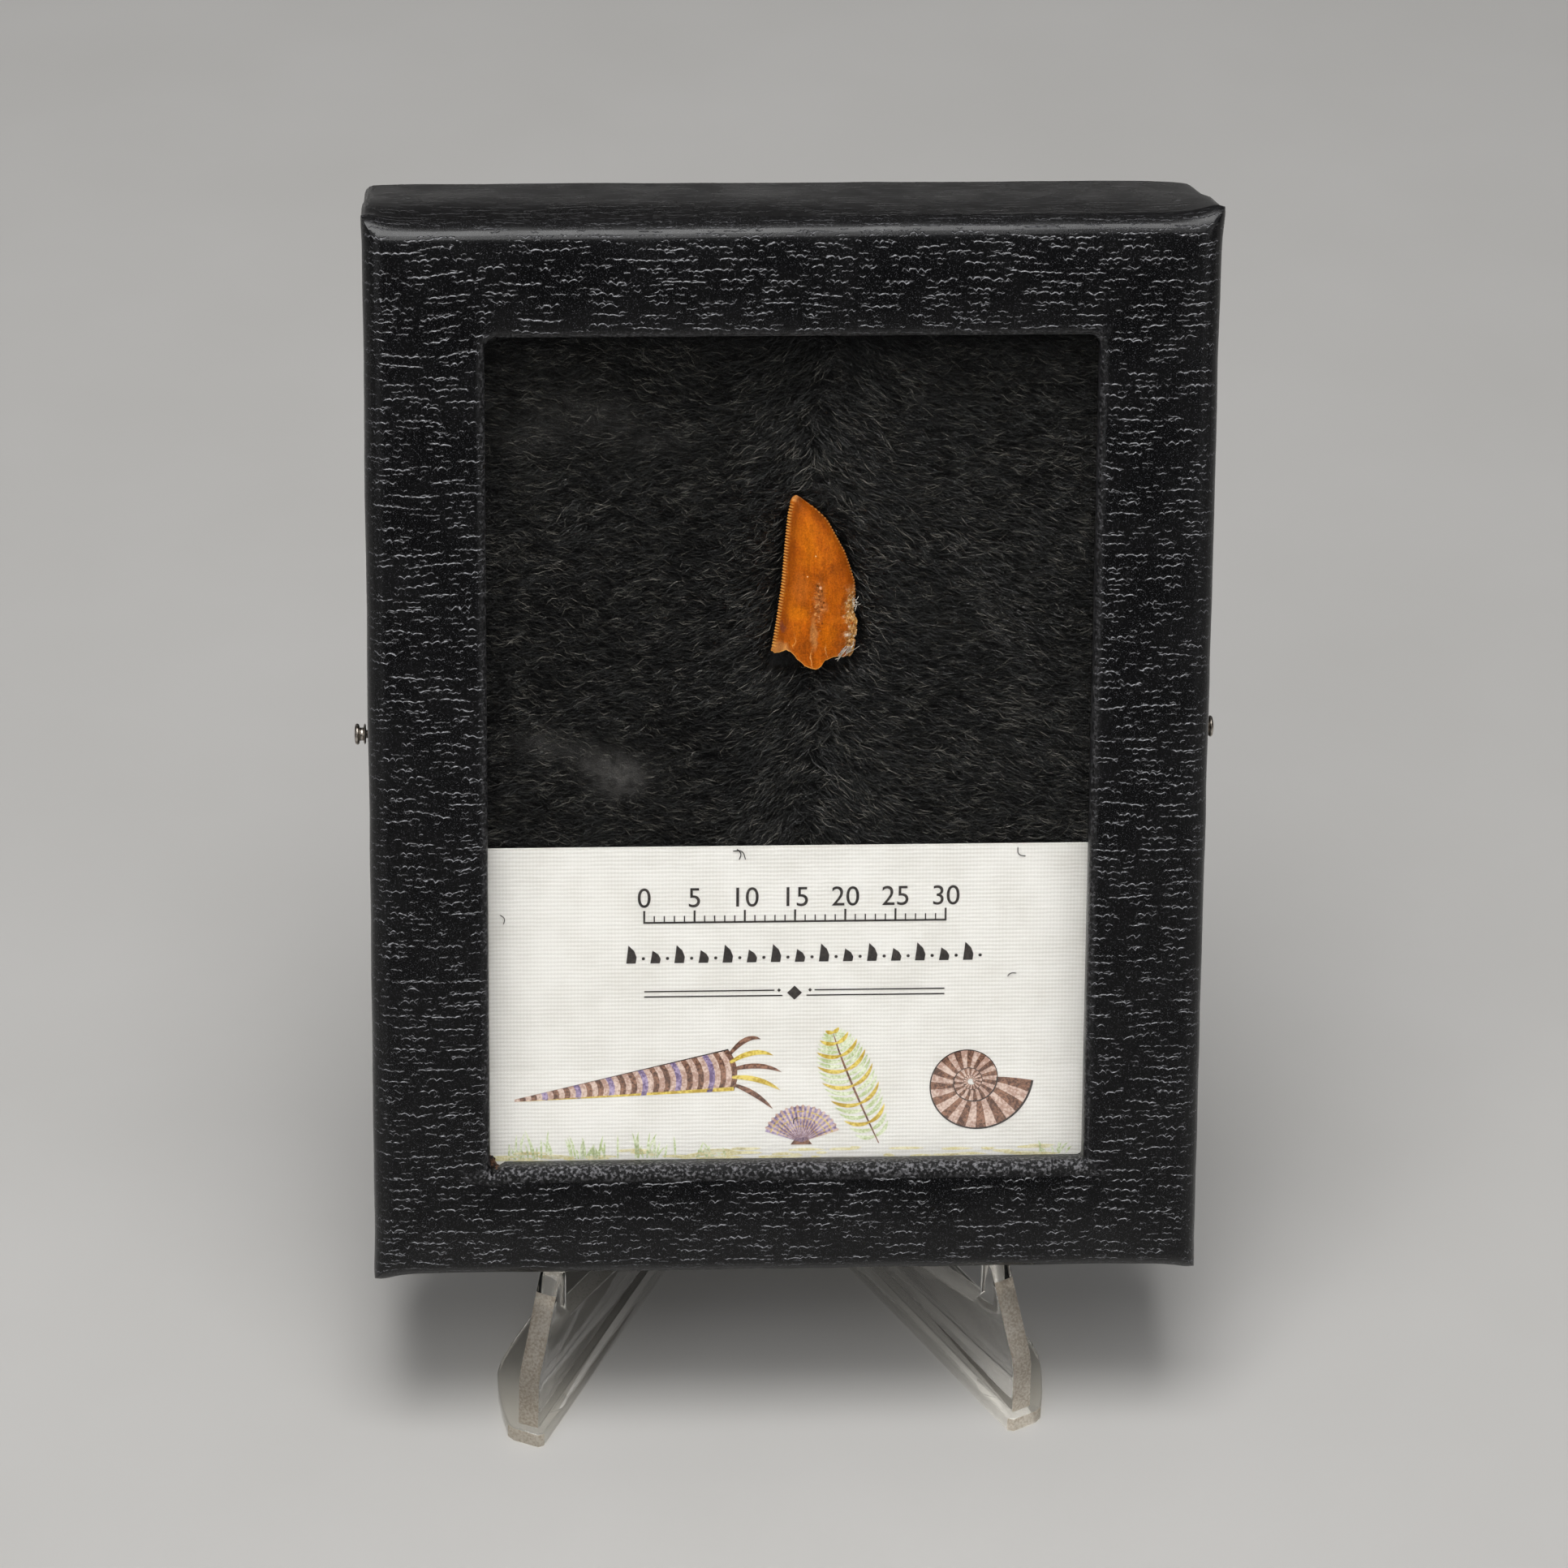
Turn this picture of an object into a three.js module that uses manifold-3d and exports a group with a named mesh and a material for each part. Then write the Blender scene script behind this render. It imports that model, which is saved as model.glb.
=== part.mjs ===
// A serrated dinosaur tooth on a black plush bed in a small glazed box, which leans on a clear folding easel.
//
// Millimetres, +Z up. The box leans back, its glazed face towards -Y. The origin is on the surface the
// easel stands on, under the middle of the model's outer box.
import * as THREE from 'three';
import { mergeVertices } from 'three/addons/utils/BufferGeometryUtils.js';
import Module from 'manifold-3d';

const wasm = await Module();
wasm.setup();

// ---------------------------------------------------------------- driving dimensions

const GAP = 0.3; // clearance kept between pieces that touch
const OVERCUT = 1; // how far a cutting tool reaches past what it cuts

// Box frame: x to the right, y into the box from its front, z up along its face from its lower edge.
const BOX = { width: 82.55, height: 107.95, depth: 19.05 };
const LEAN = THREE.MathUtils.degToRad(17); // how far the box leans back
const REST_HEIGHT = 19; // the box's lower front edge, above the surface

const LID = {
  wall: 1.7, // side walls
  board: 2.6, // front board
  border: 11.6, // width of the frame around the window
  outerRound: 2.0, // rolled outer edge of the face
  innerRound: 0.9, // rolled edge of the window
  crown: 0.25, // how far the padded face stands proud of its edges
  cornerRound: 1.0, // corners seen from the front
  windowCornerRound: 0.9,
  backRound: 0.35,
};
const TRAY = { wall: 1.6, floor: 1.7, cornerRound: 0.6 };
const GLASS = { thickness: 1.8, cornerRound: 0.4 };
const CARD = { width: 69.8, bottom: 4.2, top: 43.8, thickness: 0.4, cornerRound: 0.3 };

const PIN = {
  height: 54.3, // up the side of the box
  headRadius: 1.05,
  headReach: 1.45, // how far the head stands out from the box
  discThickness: 0.5,
  neckRadius: 0.65,
  shaftRadius: 0.4,
  shaftLength: 8.5, // inside the box
  segments: 14,
};

const TOOTH = {
  x: 2.5, // middle of the root in the box frame
  z: 61.3, // lowest point of the broken root
  thickness: 3.6, // side to side, at the root
  width: 8.2, // the width at which the blade is that thick
  denticlePitch: 0.32,
  denticleDepth: 0.16,
  beadDepth: 0.1, // the finer serration of the curved edge
  beadsFrom: 5.8, // height above the root where the curved edge is unbroken
  sections: 12, // points around the blade
  height: 17.8,
};
// Edges of the blade, [x, z] from the root: the straight rear edge and the curved front edge.
const REAR_EDGE = [
  [-4.45, -1.4], [-4.21, 1.9], [-3.9, 3.72], [-3.59, 5.88], [-3.21, 8.85],
  [-2.99, 11.73], [-2.84, 13.71], [-2.62, 16.0], [-2.31, 17.4], [-2.12, 17.66],
];
const FRONT_EDGE = [
  [3.4, -1.4], [3.57, 1.16], [3.97, 1.74], [4.2, 3.07], [4.34, 4.15], [4.33, 5.14], [4.01, 5.73],
  [4.15, 7.8], [4.06, 8.95], [3.56, 10.61], [3.07, 12.0], [2.18, 13.67], [1.28, 15.32], [0, 16.56],
  [-1.22, 17.4], [-1.5, 17.66],
];
const TIP = [-1.82, TOOTH.height];
// The broken root from rear to front, [x, z].
const ROOT_BREAK = [
  [-4.5, 1.95], [-3.8, 1.65], [-2.93, 1.89], [-2.2, 1.8], [-1.8, 1.21], [-1.15, 0.54], [-0.35, 0.12],
  [0.13, 0], [0.53, 0.19], [1.09, 0.94], [1.97, 1.26], [2.93, 1.21], [3.57, 1.16], [4.6, 1.5],
];
const ROOT_BREAK_SLOPE = THREE.MathUtils.degToRad(14); // the break runs down towards the back
// Chips in the worn lower front edge: [x, z, radius].
const CHIPS = [[4.55, 5.75, 0.55], [4.6, 3.6, 0.45], [4.25, 2.1, 0.5]];

const PLUSH = {
  nap: 5.7, // depth of the tips of the fur below the lid's face
  roll: 0.9, // how much lower the nap lies at the walls
  rollWidth: 7, // width of that roll
  nest: 2.4, // depth of the hollow that the tooth has pressed
  nestWidth: 6.5,
  nestHeight: 11.5,
  cellsAcross: 18,
  cellsUp: 24,
};

// Easel halves. Leg frame: u back along the leg from its front, w outwards, z up. The leg's inner edge
// runs through the hinge axis.
const EASEL = {
  length: 52.5, // front of the base to the hinge axis
  splay: THREE.MathUtils.degToRad(27), // each leg from the middle
  turn: THREE.MathUtils.degToRad(1.6), // the easel as a whole, under the box
  hinge: [-2.1, 43.5], // x and y from the box's lower front edge
  plate: 2.3, // thickness of the upright plate
  plateInset: 0.9, // from the base's inner edge
  base: 1.7, // thickness of the base
  edgeRound: 0.25,
  railHeight: 60,
  railWidth: 6.4,
  railClear: 0.45, // from the back of the box
  columnGap: 3.0, // from the hinge axis to the plate
  columnHeight: 54,
};
const LIP = { height: 17.45, inner: 8, ledge: 10.6, ledgeFall: THREE.MathUtils.degToRad(12) };
const HINGE = {
  rodRadius: 1.1,
  clipRadius: 2.7,
  clipHeight: 8,
  clipBottoms: [8, 38],
  clipMouth: THREE.MathUtils.degToRad(100),
  segments: 16,
};

// ---------------------------------------------------------------- materials

const material = (color, roughness, metalness = 0, extra = {}) =>
  new THREE.MeshStandardMaterial({ color, roughness, metalness, ...extra });
const MATERIALS = {
  enamel: material('#b8651b', 0.3),
  plush: material('#0b0b0c', 0.95),
  card: material('#e4e2dd', 0.85),
  glass: material('#eef4f2', 0.05, 0, { transparent: true, opacity: 0.2 }),
  coveredBoard: material('#141416', 0.5),
  trayBoard: material('#1a1a1c', 0.8),
  steel: material('#a8a29a', 0.3, 1),
  clearPlastic: material('#dfe3e2', 0.15, 0, { transparent: true, opacity: 0.35 }),
};

// ---------------------------------------------------------------- mesh helpers

/** Six times the signed volume of a triangle list, which is negative when its faces point inwards. */
function signedVolume(points, faces) {
  const [a, b, c] = [new THREE.Vector3(), new THREE.Vector3(), new THREE.Vector3()];
  return faces.reduce((sum, [i, j, k]) => {
    a.copy(points[i]);
    b.copy(points[j]);
    c.copy(points[k]);
    return sum + a.dot(b.cross(c));
  }, 0);
}

/** A geometry from points and triangles, with its faces turned outwards. */
function solidFrom(points, faces) {
  const outward = signedVolume(points, faces) > 0;
  const geometry = new THREE.BufferGeometry().setFromPoints(points);
  geometry.setIndex(faces.flatMap(([i, j, k]) => (outward ? [i, j, k] : [i, k, j])));
  return geometry;
}

/** Joins rings of equal point counts into one solid: a closed ring of rings, or one closed by end caps. */
function loft(rings, { closed = false } = {}) {
  const count = rings[0].length;
  const points = rings.flat();
  const faces = [];
  const spans = closed ? rings.length : rings.length - 1;
  for (let r = 0; r < spans; r += 1) {
    const next = (r + 1) % rings.length;
    for (let i = 0; i < count; i += 1) {
      const j = (i + 1) % count;
      const [a, b, c, d] = [r * count + i, r * count + j, next * count + j, next * count + i];
      faces.push([a, b, c], [a, c, d]);
    }
  }
  if (!closed) {
    const capRing = (start, flip) => {
      const centre = points.length;
      const sum = new THREE.Vector3();
      for (let i = 0; i < count; i += 1) sum.add(points[start + i]);
      points.push(sum.divideScalar(count));
      for (let i = 0; i < count; i += 1) {
        const [a, b] = [start + i, start + ((i + 1) % count)];
        faces.push(flip ? [centre, b, a] : [centre, a, b]);
      }
    };
    capRing(0, true);
    capRing((rings.length - 1) * count, false);
  }
  return solidFrom(points, faces);
}

/** A rounded rectangle in the box frame at one depth, inset from the box's outline. */
function boxOutline(inset, depth, radius, steps = 3) {
  const halfWidth = BOX.width / 2 - inset;
  const halfHeight = BOX.height / 2 - inset;
  const corners = [[1, 1, 0], [-1, 1, 1], [-1, -1, 2], [1, -1, 3]];
  return corners.flatMap(([sx, sz, quarter]) =>
    Array.from({ length: steps + 1 }, (_, i) => {
      const angle = ((quarter + i / steps) * Math.PI) / 2;
      return new THREE.Vector3(
        sx * (halfWidth - radius) + radius * Math.cos(angle),
        depth,
        BOX.height / 2 + sz * (halfHeight - radius) + radius * Math.sin(angle),
      );
    }));
}

/** Manifold solid of a closed geometry. */
function toManifold(geometry) {
  const bare = geometry.clone();
  bare.deleteAttribute('normal');
  bare.deleteAttribute('uv');
  const merged = mergeVertices(bare);
  return new wasm.Manifold(new wasm.Mesh({
    numProp: 3,
    vertProperties: new Float32Array(merged.attributes.position.array),
    triVerts: new Uint32Array(merged.index.array),
  }));
}

/** Geometry of a manifold solid. */
function toGeometry(manifold) {
  const { vertProperties, triVerts } = manifold.getMesh();
  const geometry = new THREE.BufferGeometry();
  geometry.setAttribute('position', new THREE.BufferAttribute(Float32Array.from(vertProperties), 3));
  geometry.setIndex(Array.from(triVerts));
  return geometry;
}

const joined = (...geometries) =>
  toGeometry(geometries.map(toManifold).reduce((sum, next) => sum.add(next)));
const cutBy = (geometry, ...tools) =>
  toGeometry(tools.map(toManifold).reduce((rest, tool) => rest.subtract(tool), toManifold(geometry)));

/** A closed outline extruded from z = 0, with its edges rounded inside the outline. */
function roundedPlate(points, thickness, round, segments = 2) {
  return new THREE.ExtrudeGeometry(new THREE.Shape(points.map(([x, y]) => new THREE.Vector2(x, y))), {
    depth: thickness - 2 * round,
    bevelEnabled: true,
    bevelThickness: round,
    bevelSize: round,
    bevelOffset: -round,
    bevelSegments: segments,
  }).translate(0, 0, round);
}

/** Points of a round corner between two directions, for an outline. */
function arcPoints([cx, cy], radius, from, to, steps) {
  return Array.from({ length: steps + 1 }, (_, i) => {
    const angle = THREE.MathUtils.degToRad(from + ((to - from) * i) / steps);
    return [cx + radius * Math.cos(angle), cy + radius * Math.sin(angle)];
  });
}

// ---------------------------------------------------------------- box

/** Holes for the two side pins, wide enough to clear their shafts. */
function pinHoles() {
  return new THREE.CylinderGeometry(
    PIN.shaftRadius + GAP, PIN.shaftRadius + GAP, BOX.width + 2 * OVERCUT, 12,
  ).rotateZ(Math.PI / 2).translate(0, BOX.depth / 2, PIN.height);
}

/** Lid: a front frame with rolled edges and four full-depth side walls, in one wrapped board shell. */
function lidGeometry() {
  const { wall, board, border, outerRound, innerRound, crown, cornerRound, windowCornerRound, backRound } = LID;
  const rim = 0.3; // corner radius where the wrap is folded tight
  const section = []; // [inset from the outline, depth, corner radius]
  section.push([backRound, BOX.depth, cornerRound], [0, BOX.depth - backRound, cornerRound]);
  for (const turn of [0, 0.25, 0.5, 0.75, 1]) { // rolled outer edge
    const angle = (turn * Math.PI) / 2;
    section.push([
      outerRound * (1 - Math.cos(angle)),
      crown + outerRound * (1 - Math.sin(angle)),
      THREE.MathUtils.lerp(cornerRound, rim, turn),
    ]);
  }
  const middle = (outerRound + border - innerRound) / 2;
  const reach = middle - outerRound;
  for (const place of [-0.6, 0, 0.6]) { // padded face
    section.push([middle + place * reach, crown * place * place, rim]);
  }
  for (const turn of [0, 1 / 3, 2 / 3, 1]) { // rolled window edge
    const angle = (turn * Math.PI) / 2;
    section.push([
      border - innerRound * (1 - Math.sin(angle)),
      crown + innerRound * (1 - Math.cos(angle)),
      windowCornerRound,
    ]);
  }
  section.push([border, board, windowCornerRound], [wall, board, rim], [wall, BOX.depth - backRound / 2, rim]);
  const frame = loft(section.map(([inset, depth, radius]) => boxOutline(inset, depth, radius)), { closed: true });
  return cutBy(frame, pinHoles());
}

const trayInset = LID.wall + GAP;
const glassFront = LID.board + GAP;
const innerFront = glassFront + GLASS.thickness + GAP; // where the tray's rim, the card and the tooth begin

/** Tray: an open box that fills the lid from behind, its rim against the glass. */
function trayGeometry() {
  const inside = trayInset + TRAY.wall;
  const back = BOX.depth - LID.backRound / 2;
  const shell = loft([
    boxOutline(inside, back - TRAY.floor, TRAY.cornerRound / 2),
    boxOutline(inside, innerFront, TRAY.cornerRound / 2),
    boxOutline(trayInset, innerFront, TRAY.cornerRound),
    boxOutline(trayInset, back, TRAY.cornerRound),
  ]);
  return cutBy(shell, pinHoles());
}

/** Window pane behind the lid's front board. */
function glassGeometry() {
  return loft([
    boxOutline(trayInset, glassFront, GLASS.cornerRound),
    boxOutline(trayInset, glassFront + GLASS.thickness, GLASS.cornerRound),
  ]);
}

/** Label card between the glass and the lower half of the plush. */
function cardGeometry() {
  const height = CARD.top - CARD.bottom;
  const outline = [
    ...arcPoints([CARD.width / 2 - CARD.cornerRound, height / 2 - CARD.cornerRound], CARD.cornerRound, 0, 90, 3),
    ...arcPoints([-CARD.width / 2 + CARD.cornerRound, height / 2 - CARD.cornerRound], CARD.cornerRound, 90, 180, 3),
    ...arcPoints([-CARD.width / 2 + CARD.cornerRound, -height / 2 + CARD.cornerRound], CARD.cornerRound, 180, 270, 3),
    ...arcPoints([CARD.width / 2 - CARD.cornerRound, -height / 2 + CARD.cornerRound], CARD.cornerRound, 270, 360, 3),
  ];
  const shape = new THREE.Shape(outline.map(([x, y]) => new THREE.Vector2(x, y)));
  return new THREE.ExtrudeGeometry(shape, { depth: CARD.thickness, bevelEnabled: false })
    .rotateX(Math.PI / 2)
    .translate(0, innerFront + CARD.thickness, CARD.bottom + height / 2);
}

/** Pin: a double-disc head outside the box on a pointed shaft. Its axis is +Y, its head's end is at y = 0. */
function pinGeometry() {
  const { headRadius, headReach, discThickness, neckRadius, shaftRadius, shaftLength, segments } = PIN;
  const soft = 0.15; // rounding of the discs' rims
  const second = headReach - discThickness;
  const profile = [
    [0, 0], [headRadius - 2 * soft, 0.04], [headRadius, soft * 1.4], [headRadius, discThickness - soft],
    [headRadius - soft, discThickness], [neckRadius, discThickness + 0.02], [neckRadius, second - 0.02],
    [headRadius - soft, second], [headRadius, second + soft], [headRadius, headReach - GAP - soft],
    [headRadius - soft, headReach - GAP], [shaftRadius, headReach - GAP + 0.02],
    [shaftRadius, headReach + shaftLength - 1.2], [0, headReach + shaftLength],
  ];
  return new THREE.LatheGeometry(profile.map(([r, y]) => new THREE.Vector2(r, y)), segments);
}

// ---------------------------------------------------------------- tooth and plush

/** x of an edge of the blade at height z, along a smooth line through the edge's points. */
function edgeReader(edge) {
  const line = new THREE.SplineCurve(edge.map(([x, z]) => new THREE.Vector2(x, z))).getPoints(edge.length * 10);
  return (z) => {
    const after = line.findIndex((point) => point.y >= z);
    if (after <= 0) return (after === 0 ? line[0] : line[line.length - 1]).x;
    const [a, b] = [line[after - 1], line[after]];
    return THREE.MathUtils.lerp(a.x, b.x, (z - a.y) / (b.y - a.y));
  };
}
const rearEdgeAt = edgeReader(REAR_EDGE);
const frontEdgeAt = edgeReader(FRONT_EDGE);

/** The blade as stacked lens-shaped sections, from below the break to the tip, grown by a margin. */
function bladeGeometry({ step, grow = 0, serrated = true }) {
  const bottom = REAR_EDGE[0][1];
  const top = REAR_EDGE[REAR_EDGE.length - 1][1];
  const rows = Math.round((top - bottom) / step);
  const rings = Array.from({ length: rows + 1 }, (_, row) => {
    const z = THREE.MathUtils.lerp(bottom, top, row / rows);
    const side = row % 2 ? 0.5 : -0.5;
    const notch = serrated && row > 1 && row < rows - 1 ? side : 0;
    const bead = z > TOOTH.beadsFrom ? notch : 0;
    const rear = rearEdgeAt(z) - grow;
    const front = frontEdgeAt(z) + grow;
    const halfThickness = (TOOTH.thickness / 2) * ((front - rear) / TOOTH.width) ** 0.8 + grow;
    return Array.from({ length: TOOTH.sections }, (_, i) => {
      const angle = (2 * Math.PI * i) / TOOTH.sections;
      const across = Math.sign(Math.cos(angle)) * Math.abs(Math.cos(angle)) ** 0.5; // close near the edges
      const onEdge = Math.abs(across) > 0.999;
      const depth = Math.sign(Math.sin(angle)) * (1 - across * across) ** 0.75;
      const serration = across > 0 ? bead * TOOTH.beadDepth : notch * TOOTH.denticleDepth;
      return new THREE.Vector3(
        (rear + front) / 2 + (across * (front - rear)) / 2 + (onEdge ? serration : 0),
        onEdge ? 0 : depth * halfThickness,
        z + (z > 0 ? grow * (z / top) : -grow),
      );
    });
  });
  const blade = loft(rings);
  // The cap's middle point becomes the tip.
  const tipIndex = blade.attributes.position.count - 1;
  blade.attributes.position.setXYZ(tipIndex, TIP[0], 0, TIP[1] + grow);
  return blade;
}

/** Places something from the tooth's frame into the box frame, its widest bulge just behind the glass. */
const toothDepth = innerFront + TOOTH.thickness / 2 + 0.1;
const placeTooth = (geometry) => geometry.translate(TOOTH.x, toothDepth, TOOTH.z);

/** Tooth: the serrated blade, broken off at the root and chipped low on its curved edge. */
function toothGeometry() {
  const below = -6;
  const reach = 6;
  const outline = [[-reach, below], [-reach, ROOT_BREAK[0][1]], ...ROOT_BREAK, [reach, 1.6], [reach, below]];
  const shape = new THREE.Shape(outline.map(([x, z]) => new THREE.Vector2(x, z)));
  const breakTool = new THREE.ExtrudeGeometry(shape, { depth: 2 * reach, bevelEnabled: false })
    .translate(0, 0, -reach)
    .rotateX(Math.PI / 2 + ROOT_BREAK_SLOPE);
  const chips = CHIPS.map(([x, z, radius], i) =>
    new THREE.IcosahedronGeometry(radius, 1).scale(1, 1.6, 1).rotateX(i).translate(x, 0.3 * i - 0.3, z));
  const blade = bladeGeometry({ step: TOOTH.denticlePitch / 2 });
  return placeTooth(cutBy(blade, breakTool, ...chips));
}

/** Depth of the tips of the fur at a place in the box frame. */
function napDepth(x, z) {
  const inside = trayInset + TRAY.wall;
  const toWall = Math.min(BOX.width / 2 - inside - Math.abs(x), z - inside, BOX.height - inside - z);
  const roll = PLUSH.roll * (1 - THREE.MathUtils.smoothstep(toWall, 0, PLUSH.rollWidth));
  const across = (x - TOOTH.x) / PLUSH.nestWidth;
  const up = (z - TOOTH.z - TOOTH.height / 2) / PLUSH.nestHeight;
  const nest = PLUSH.nest * Math.exp(-2 * (across * across + up * up));
  return PLUSH.nap + roll + nest;
}

/** Plush bed: a soft block that fills the tray, its nap rolled at the walls and pressed in under the tooth. */
function plushGeometry() {
  const inside = trayInset + TRAY.wall + GAP;
  const [halfWidth, low, high] = [BOX.width / 2 - inside, inside, BOX.height - inside];
  const back = BOX.depth - LID.backRound / 2 - TRAY.floor - GAP;
  const { cellsAcross, cellsUp } = PLUSH;
  const at = (i, j) => [
    THREE.MathUtils.lerp(-halfWidth, halfWidth, i / cellsAcross),
    THREE.MathUtils.lerp(low, high, j / cellsUp),
  ];
  const points = [];
  const faces = [];
  const index = (i, j) => j * (cellsAcross + 1) + i;
  for (let j = 0; j <= cellsUp; j += 1) {
    for (let i = 0; i <= cellsAcross; i += 1) {
      const [x, z] = at(i, j);
      points.push(new THREE.Vector3(x, napDepth(x, z), z));
    }
  }
  for (let j = 0; j < cellsUp; j += 1) {
    for (let i = 0; i < cellsAcross; i += 1) {
      const [a, b, c, d] = [index(i, j), index(i + 1, j), index(i + 1, j + 1), index(i, j + 1)];
      faces.push([a, b, c], [a, c, d]);
    }
  }
  const rim = [];
  for (let i = 0; i < cellsAcross; i += 1) rim.push(index(i, 0));
  for (let j = 0; j < cellsUp; j += 1) rim.push(index(cellsAcross, j));
  for (let i = cellsAcross; i > 0; i -= 1) rim.push(index(i, cellsUp));
  for (let j = cellsUp; j > 0; j -= 1) rim.push(index(0, j));
  const first = points.length;
  for (const corner of rim) points.push(new THREE.Vector3(points[corner].x, back, points[corner].z));
  const centre = points.length;
  points.push(new THREE.Vector3(0, back, BOX.height / 2));
  rim.forEach((a, i) => {
    const j = (i + 1) % rim.length;
    faces.push([a, first + j, rim[j]], [a, first + i, first + j], [centre, first + j, first + i]);
  });
  const press = placeTooth(bladeGeometry({ step: 1.2, grow: GAP + 0.1, serrated: false }));
  return cutBy(solidFrom(points, faces), press, pinHoles());
}

// ---------------------------------------------------------------- easel

/** Outline of a leg's upright plate in u and z: lip, ledge, leaning rail and hinge column. */
function plateOutline() {
  const { length, base, railHeight, railWidth, columnGap, columnHeight } = EASEL;
  const railSlope = Math.tan(LEAN) / Math.cos(EASEL.splay);
  const boxBack = (BOX.depth + EASEL.railClear) / Math.cos(LEAN) - REST_HEIGHT * Math.tan(LEAN);
  const legFront = EASEL.hinge[1] - length * Math.cos(EASEL.splay);
  const railAt = (z) => (boxBack - legFront) / Math.cos(EASEL.splay) + z * railSlope;
  const ledgeEnd = 22.4;
  const ledgeLow = LIP.ledge - (ledgeEnd - LIP.inner - 1.2) * Math.tan(LIP.ledgeFall);
  const back = length - columnGap;
  return [
    [1.0, base / 2],
    [1.2, 7.0], [1.6, 8.4], [2.4, 9.8], // bent front edge
    [6.1, 16.9], [6.5, LIP.height], [7.0, LIP.height + 0.05], [LIP.inner - 0.2, LIP.height - 0.4],
    [LIP.inner, LIP.height - 0.9],
    [LIP.inner, LIP.ledge + 1.6], [LIP.inner + 1.2, LIP.ledge],
    [ledgeEnd - 0.6, ledgeLow], [ledgeEnd + 0.3, ledgeLow + 0.3], [railAt(ledgeLow + 2), ledgeLow + 2],
    ...arcPoints([railAt(railHeight) + railWidth / 2, railHeight - 0.6], railWidth / 2 - 0.1, 165, 15, 6),
    [back - 1.2, columnHeight + 0.6], [back, columnHeight - 0.8],
    [back, base / 2],
  ];
}

/** Outline of a leg's base in u and w: narrow front, flared outer edge, clipped rear corner. */
function baseOutline() {
  const back = EASEL.length - EASEL.columnGap;
  return [
    [0.5, 0], [0, 0.5], [0, 3.2], [0.35, 4.0], [2.5, 5.6], [5.2, 7.3], [7.6, 8.5], [9.6, 9.0], [12.5, 9.2],
    [back - 6, 9.2], [back - 4.6, 8.8], [back - 0.6, 4.6], [back, 3.6], [back, 0],
  ];
}

/** A leg without its hinge parts: upright plate and base, in the leg frame. */
function legGeometry() {
  const plate = roundedPlate(plateOutline(), EASEL.plate, EASEL.edgeRound)
    .rotateX(Math.PI / 2)
    .translate(0, EASEL.plateInset + EASEL.plate, 0);
  return joined(plate, roundedPlate(baseOutline(), EASEL.base, EASEL.edgeRound));
}

/** A block in the leg frame from one corner to the opposite one. */
function blockBetween([u0, w0, z0], [u1, w1, z1]) {
  return new THREE.BoxGeometry(u1 - u0, w1 - w0, z1 - z0)
    .translate((u0 + u1) / 2, (w0 + w1) / 2, (z0 + z1) / 2);
}

/** Hinge rod of the right-hand half: a rod on the axis, tied to the plate between the clips. */
function withRod(leg) {
  const { base, columnHeight, length, plateInset } = EASEL;
  const rod = new THREE.CylinderGeometry(HINGE.rodRadius, HINGE.rodRadius, columnHeight - base, HINGE.segments)
    .rotateX(Math.PI / 2)
    .translate(length, 0, (columnHeight + base) / 2);
  const clear = 0.5; // between an arm and a clip
  const stops = [base, ...HINGE.clipBottoms.flatMap((z) => [z - clear, z + HINGE.clipHeight + clear]), columnHeight];
  const arms = [];
  for (let i = 0; i < stops.length; i += 2) {
    arms.push(blockBetween(
      [length - EASEL.columnGap - 0.6, plateInset - 0.7, stops[i]],
      [length, plateInset + 0.1, stops[i + 1]],
    ));
  }
  return joined(leg, rod, ...arms);
}

/** Hinge clips of the left-hand half: open rings that snap round the rod. */
function withClips(leg) {
  const inner = HINGE.rodRadius + GAP;
  const outer = HINGE.clipRadius;
  const mouth = THREE.MathUtils.radToDeg(HINGE.clipMouth) / 2;
  const outline = [
    ...arcPoints([0, 0], outer, mouth, 360 - mouth, HINGE.segments),
    ...arcPoints([0, 0], inner, 360 - mouth, mouth, HINGE.segments),
  ];
  const towards = Math.PI * 0.22; // the mouth faces away from the rod's arms
  const rings = HINGE.clipBottoms.map((z) =>
    new THREE.ExtrudeGeometry(new THREE.Shape(outline.map(([x, y]) => new THREE.Vector2(x, y))), {
      depth: HINGE.clipHeight,
      bevelEnabled: false,
    }).rotateZ(towards).translate(EASEL.length, 0, z));
  const tabs = HINGE.clipBottoms.map((z) => blockBetween(
    [EASEL.length - EASEL.columnGap - 0.6, EASEL.plateInset, z],
    [EASEL.length - inner - 0.6, EASEL.plateInset + 1.4, z + HINGE.clipHeight],
  ));
  return joined(leg, ...rings, ...tabs);
}

// ---------------------------------------------------------------- assembly

/** A named mesh. */
function piece(name, geometry, finish) {
  const mesh = new THREE.Mesh(geometry, finish);
  mesh.name = name;
  return mesh;
}

/** Turns a solid's mirror image right side out. */
function mirrored(geometry) {
  const copy = toGeometry(toManifold(geometry));
  copy.scale(1, -1, 1);
  const order = copy.index.array;
  for (let i = 0; i < order.length; i += 3) [order[i + 1], order[i + 2]] = [order[i + 2], order[i + 1]];
  return copy;
}

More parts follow.
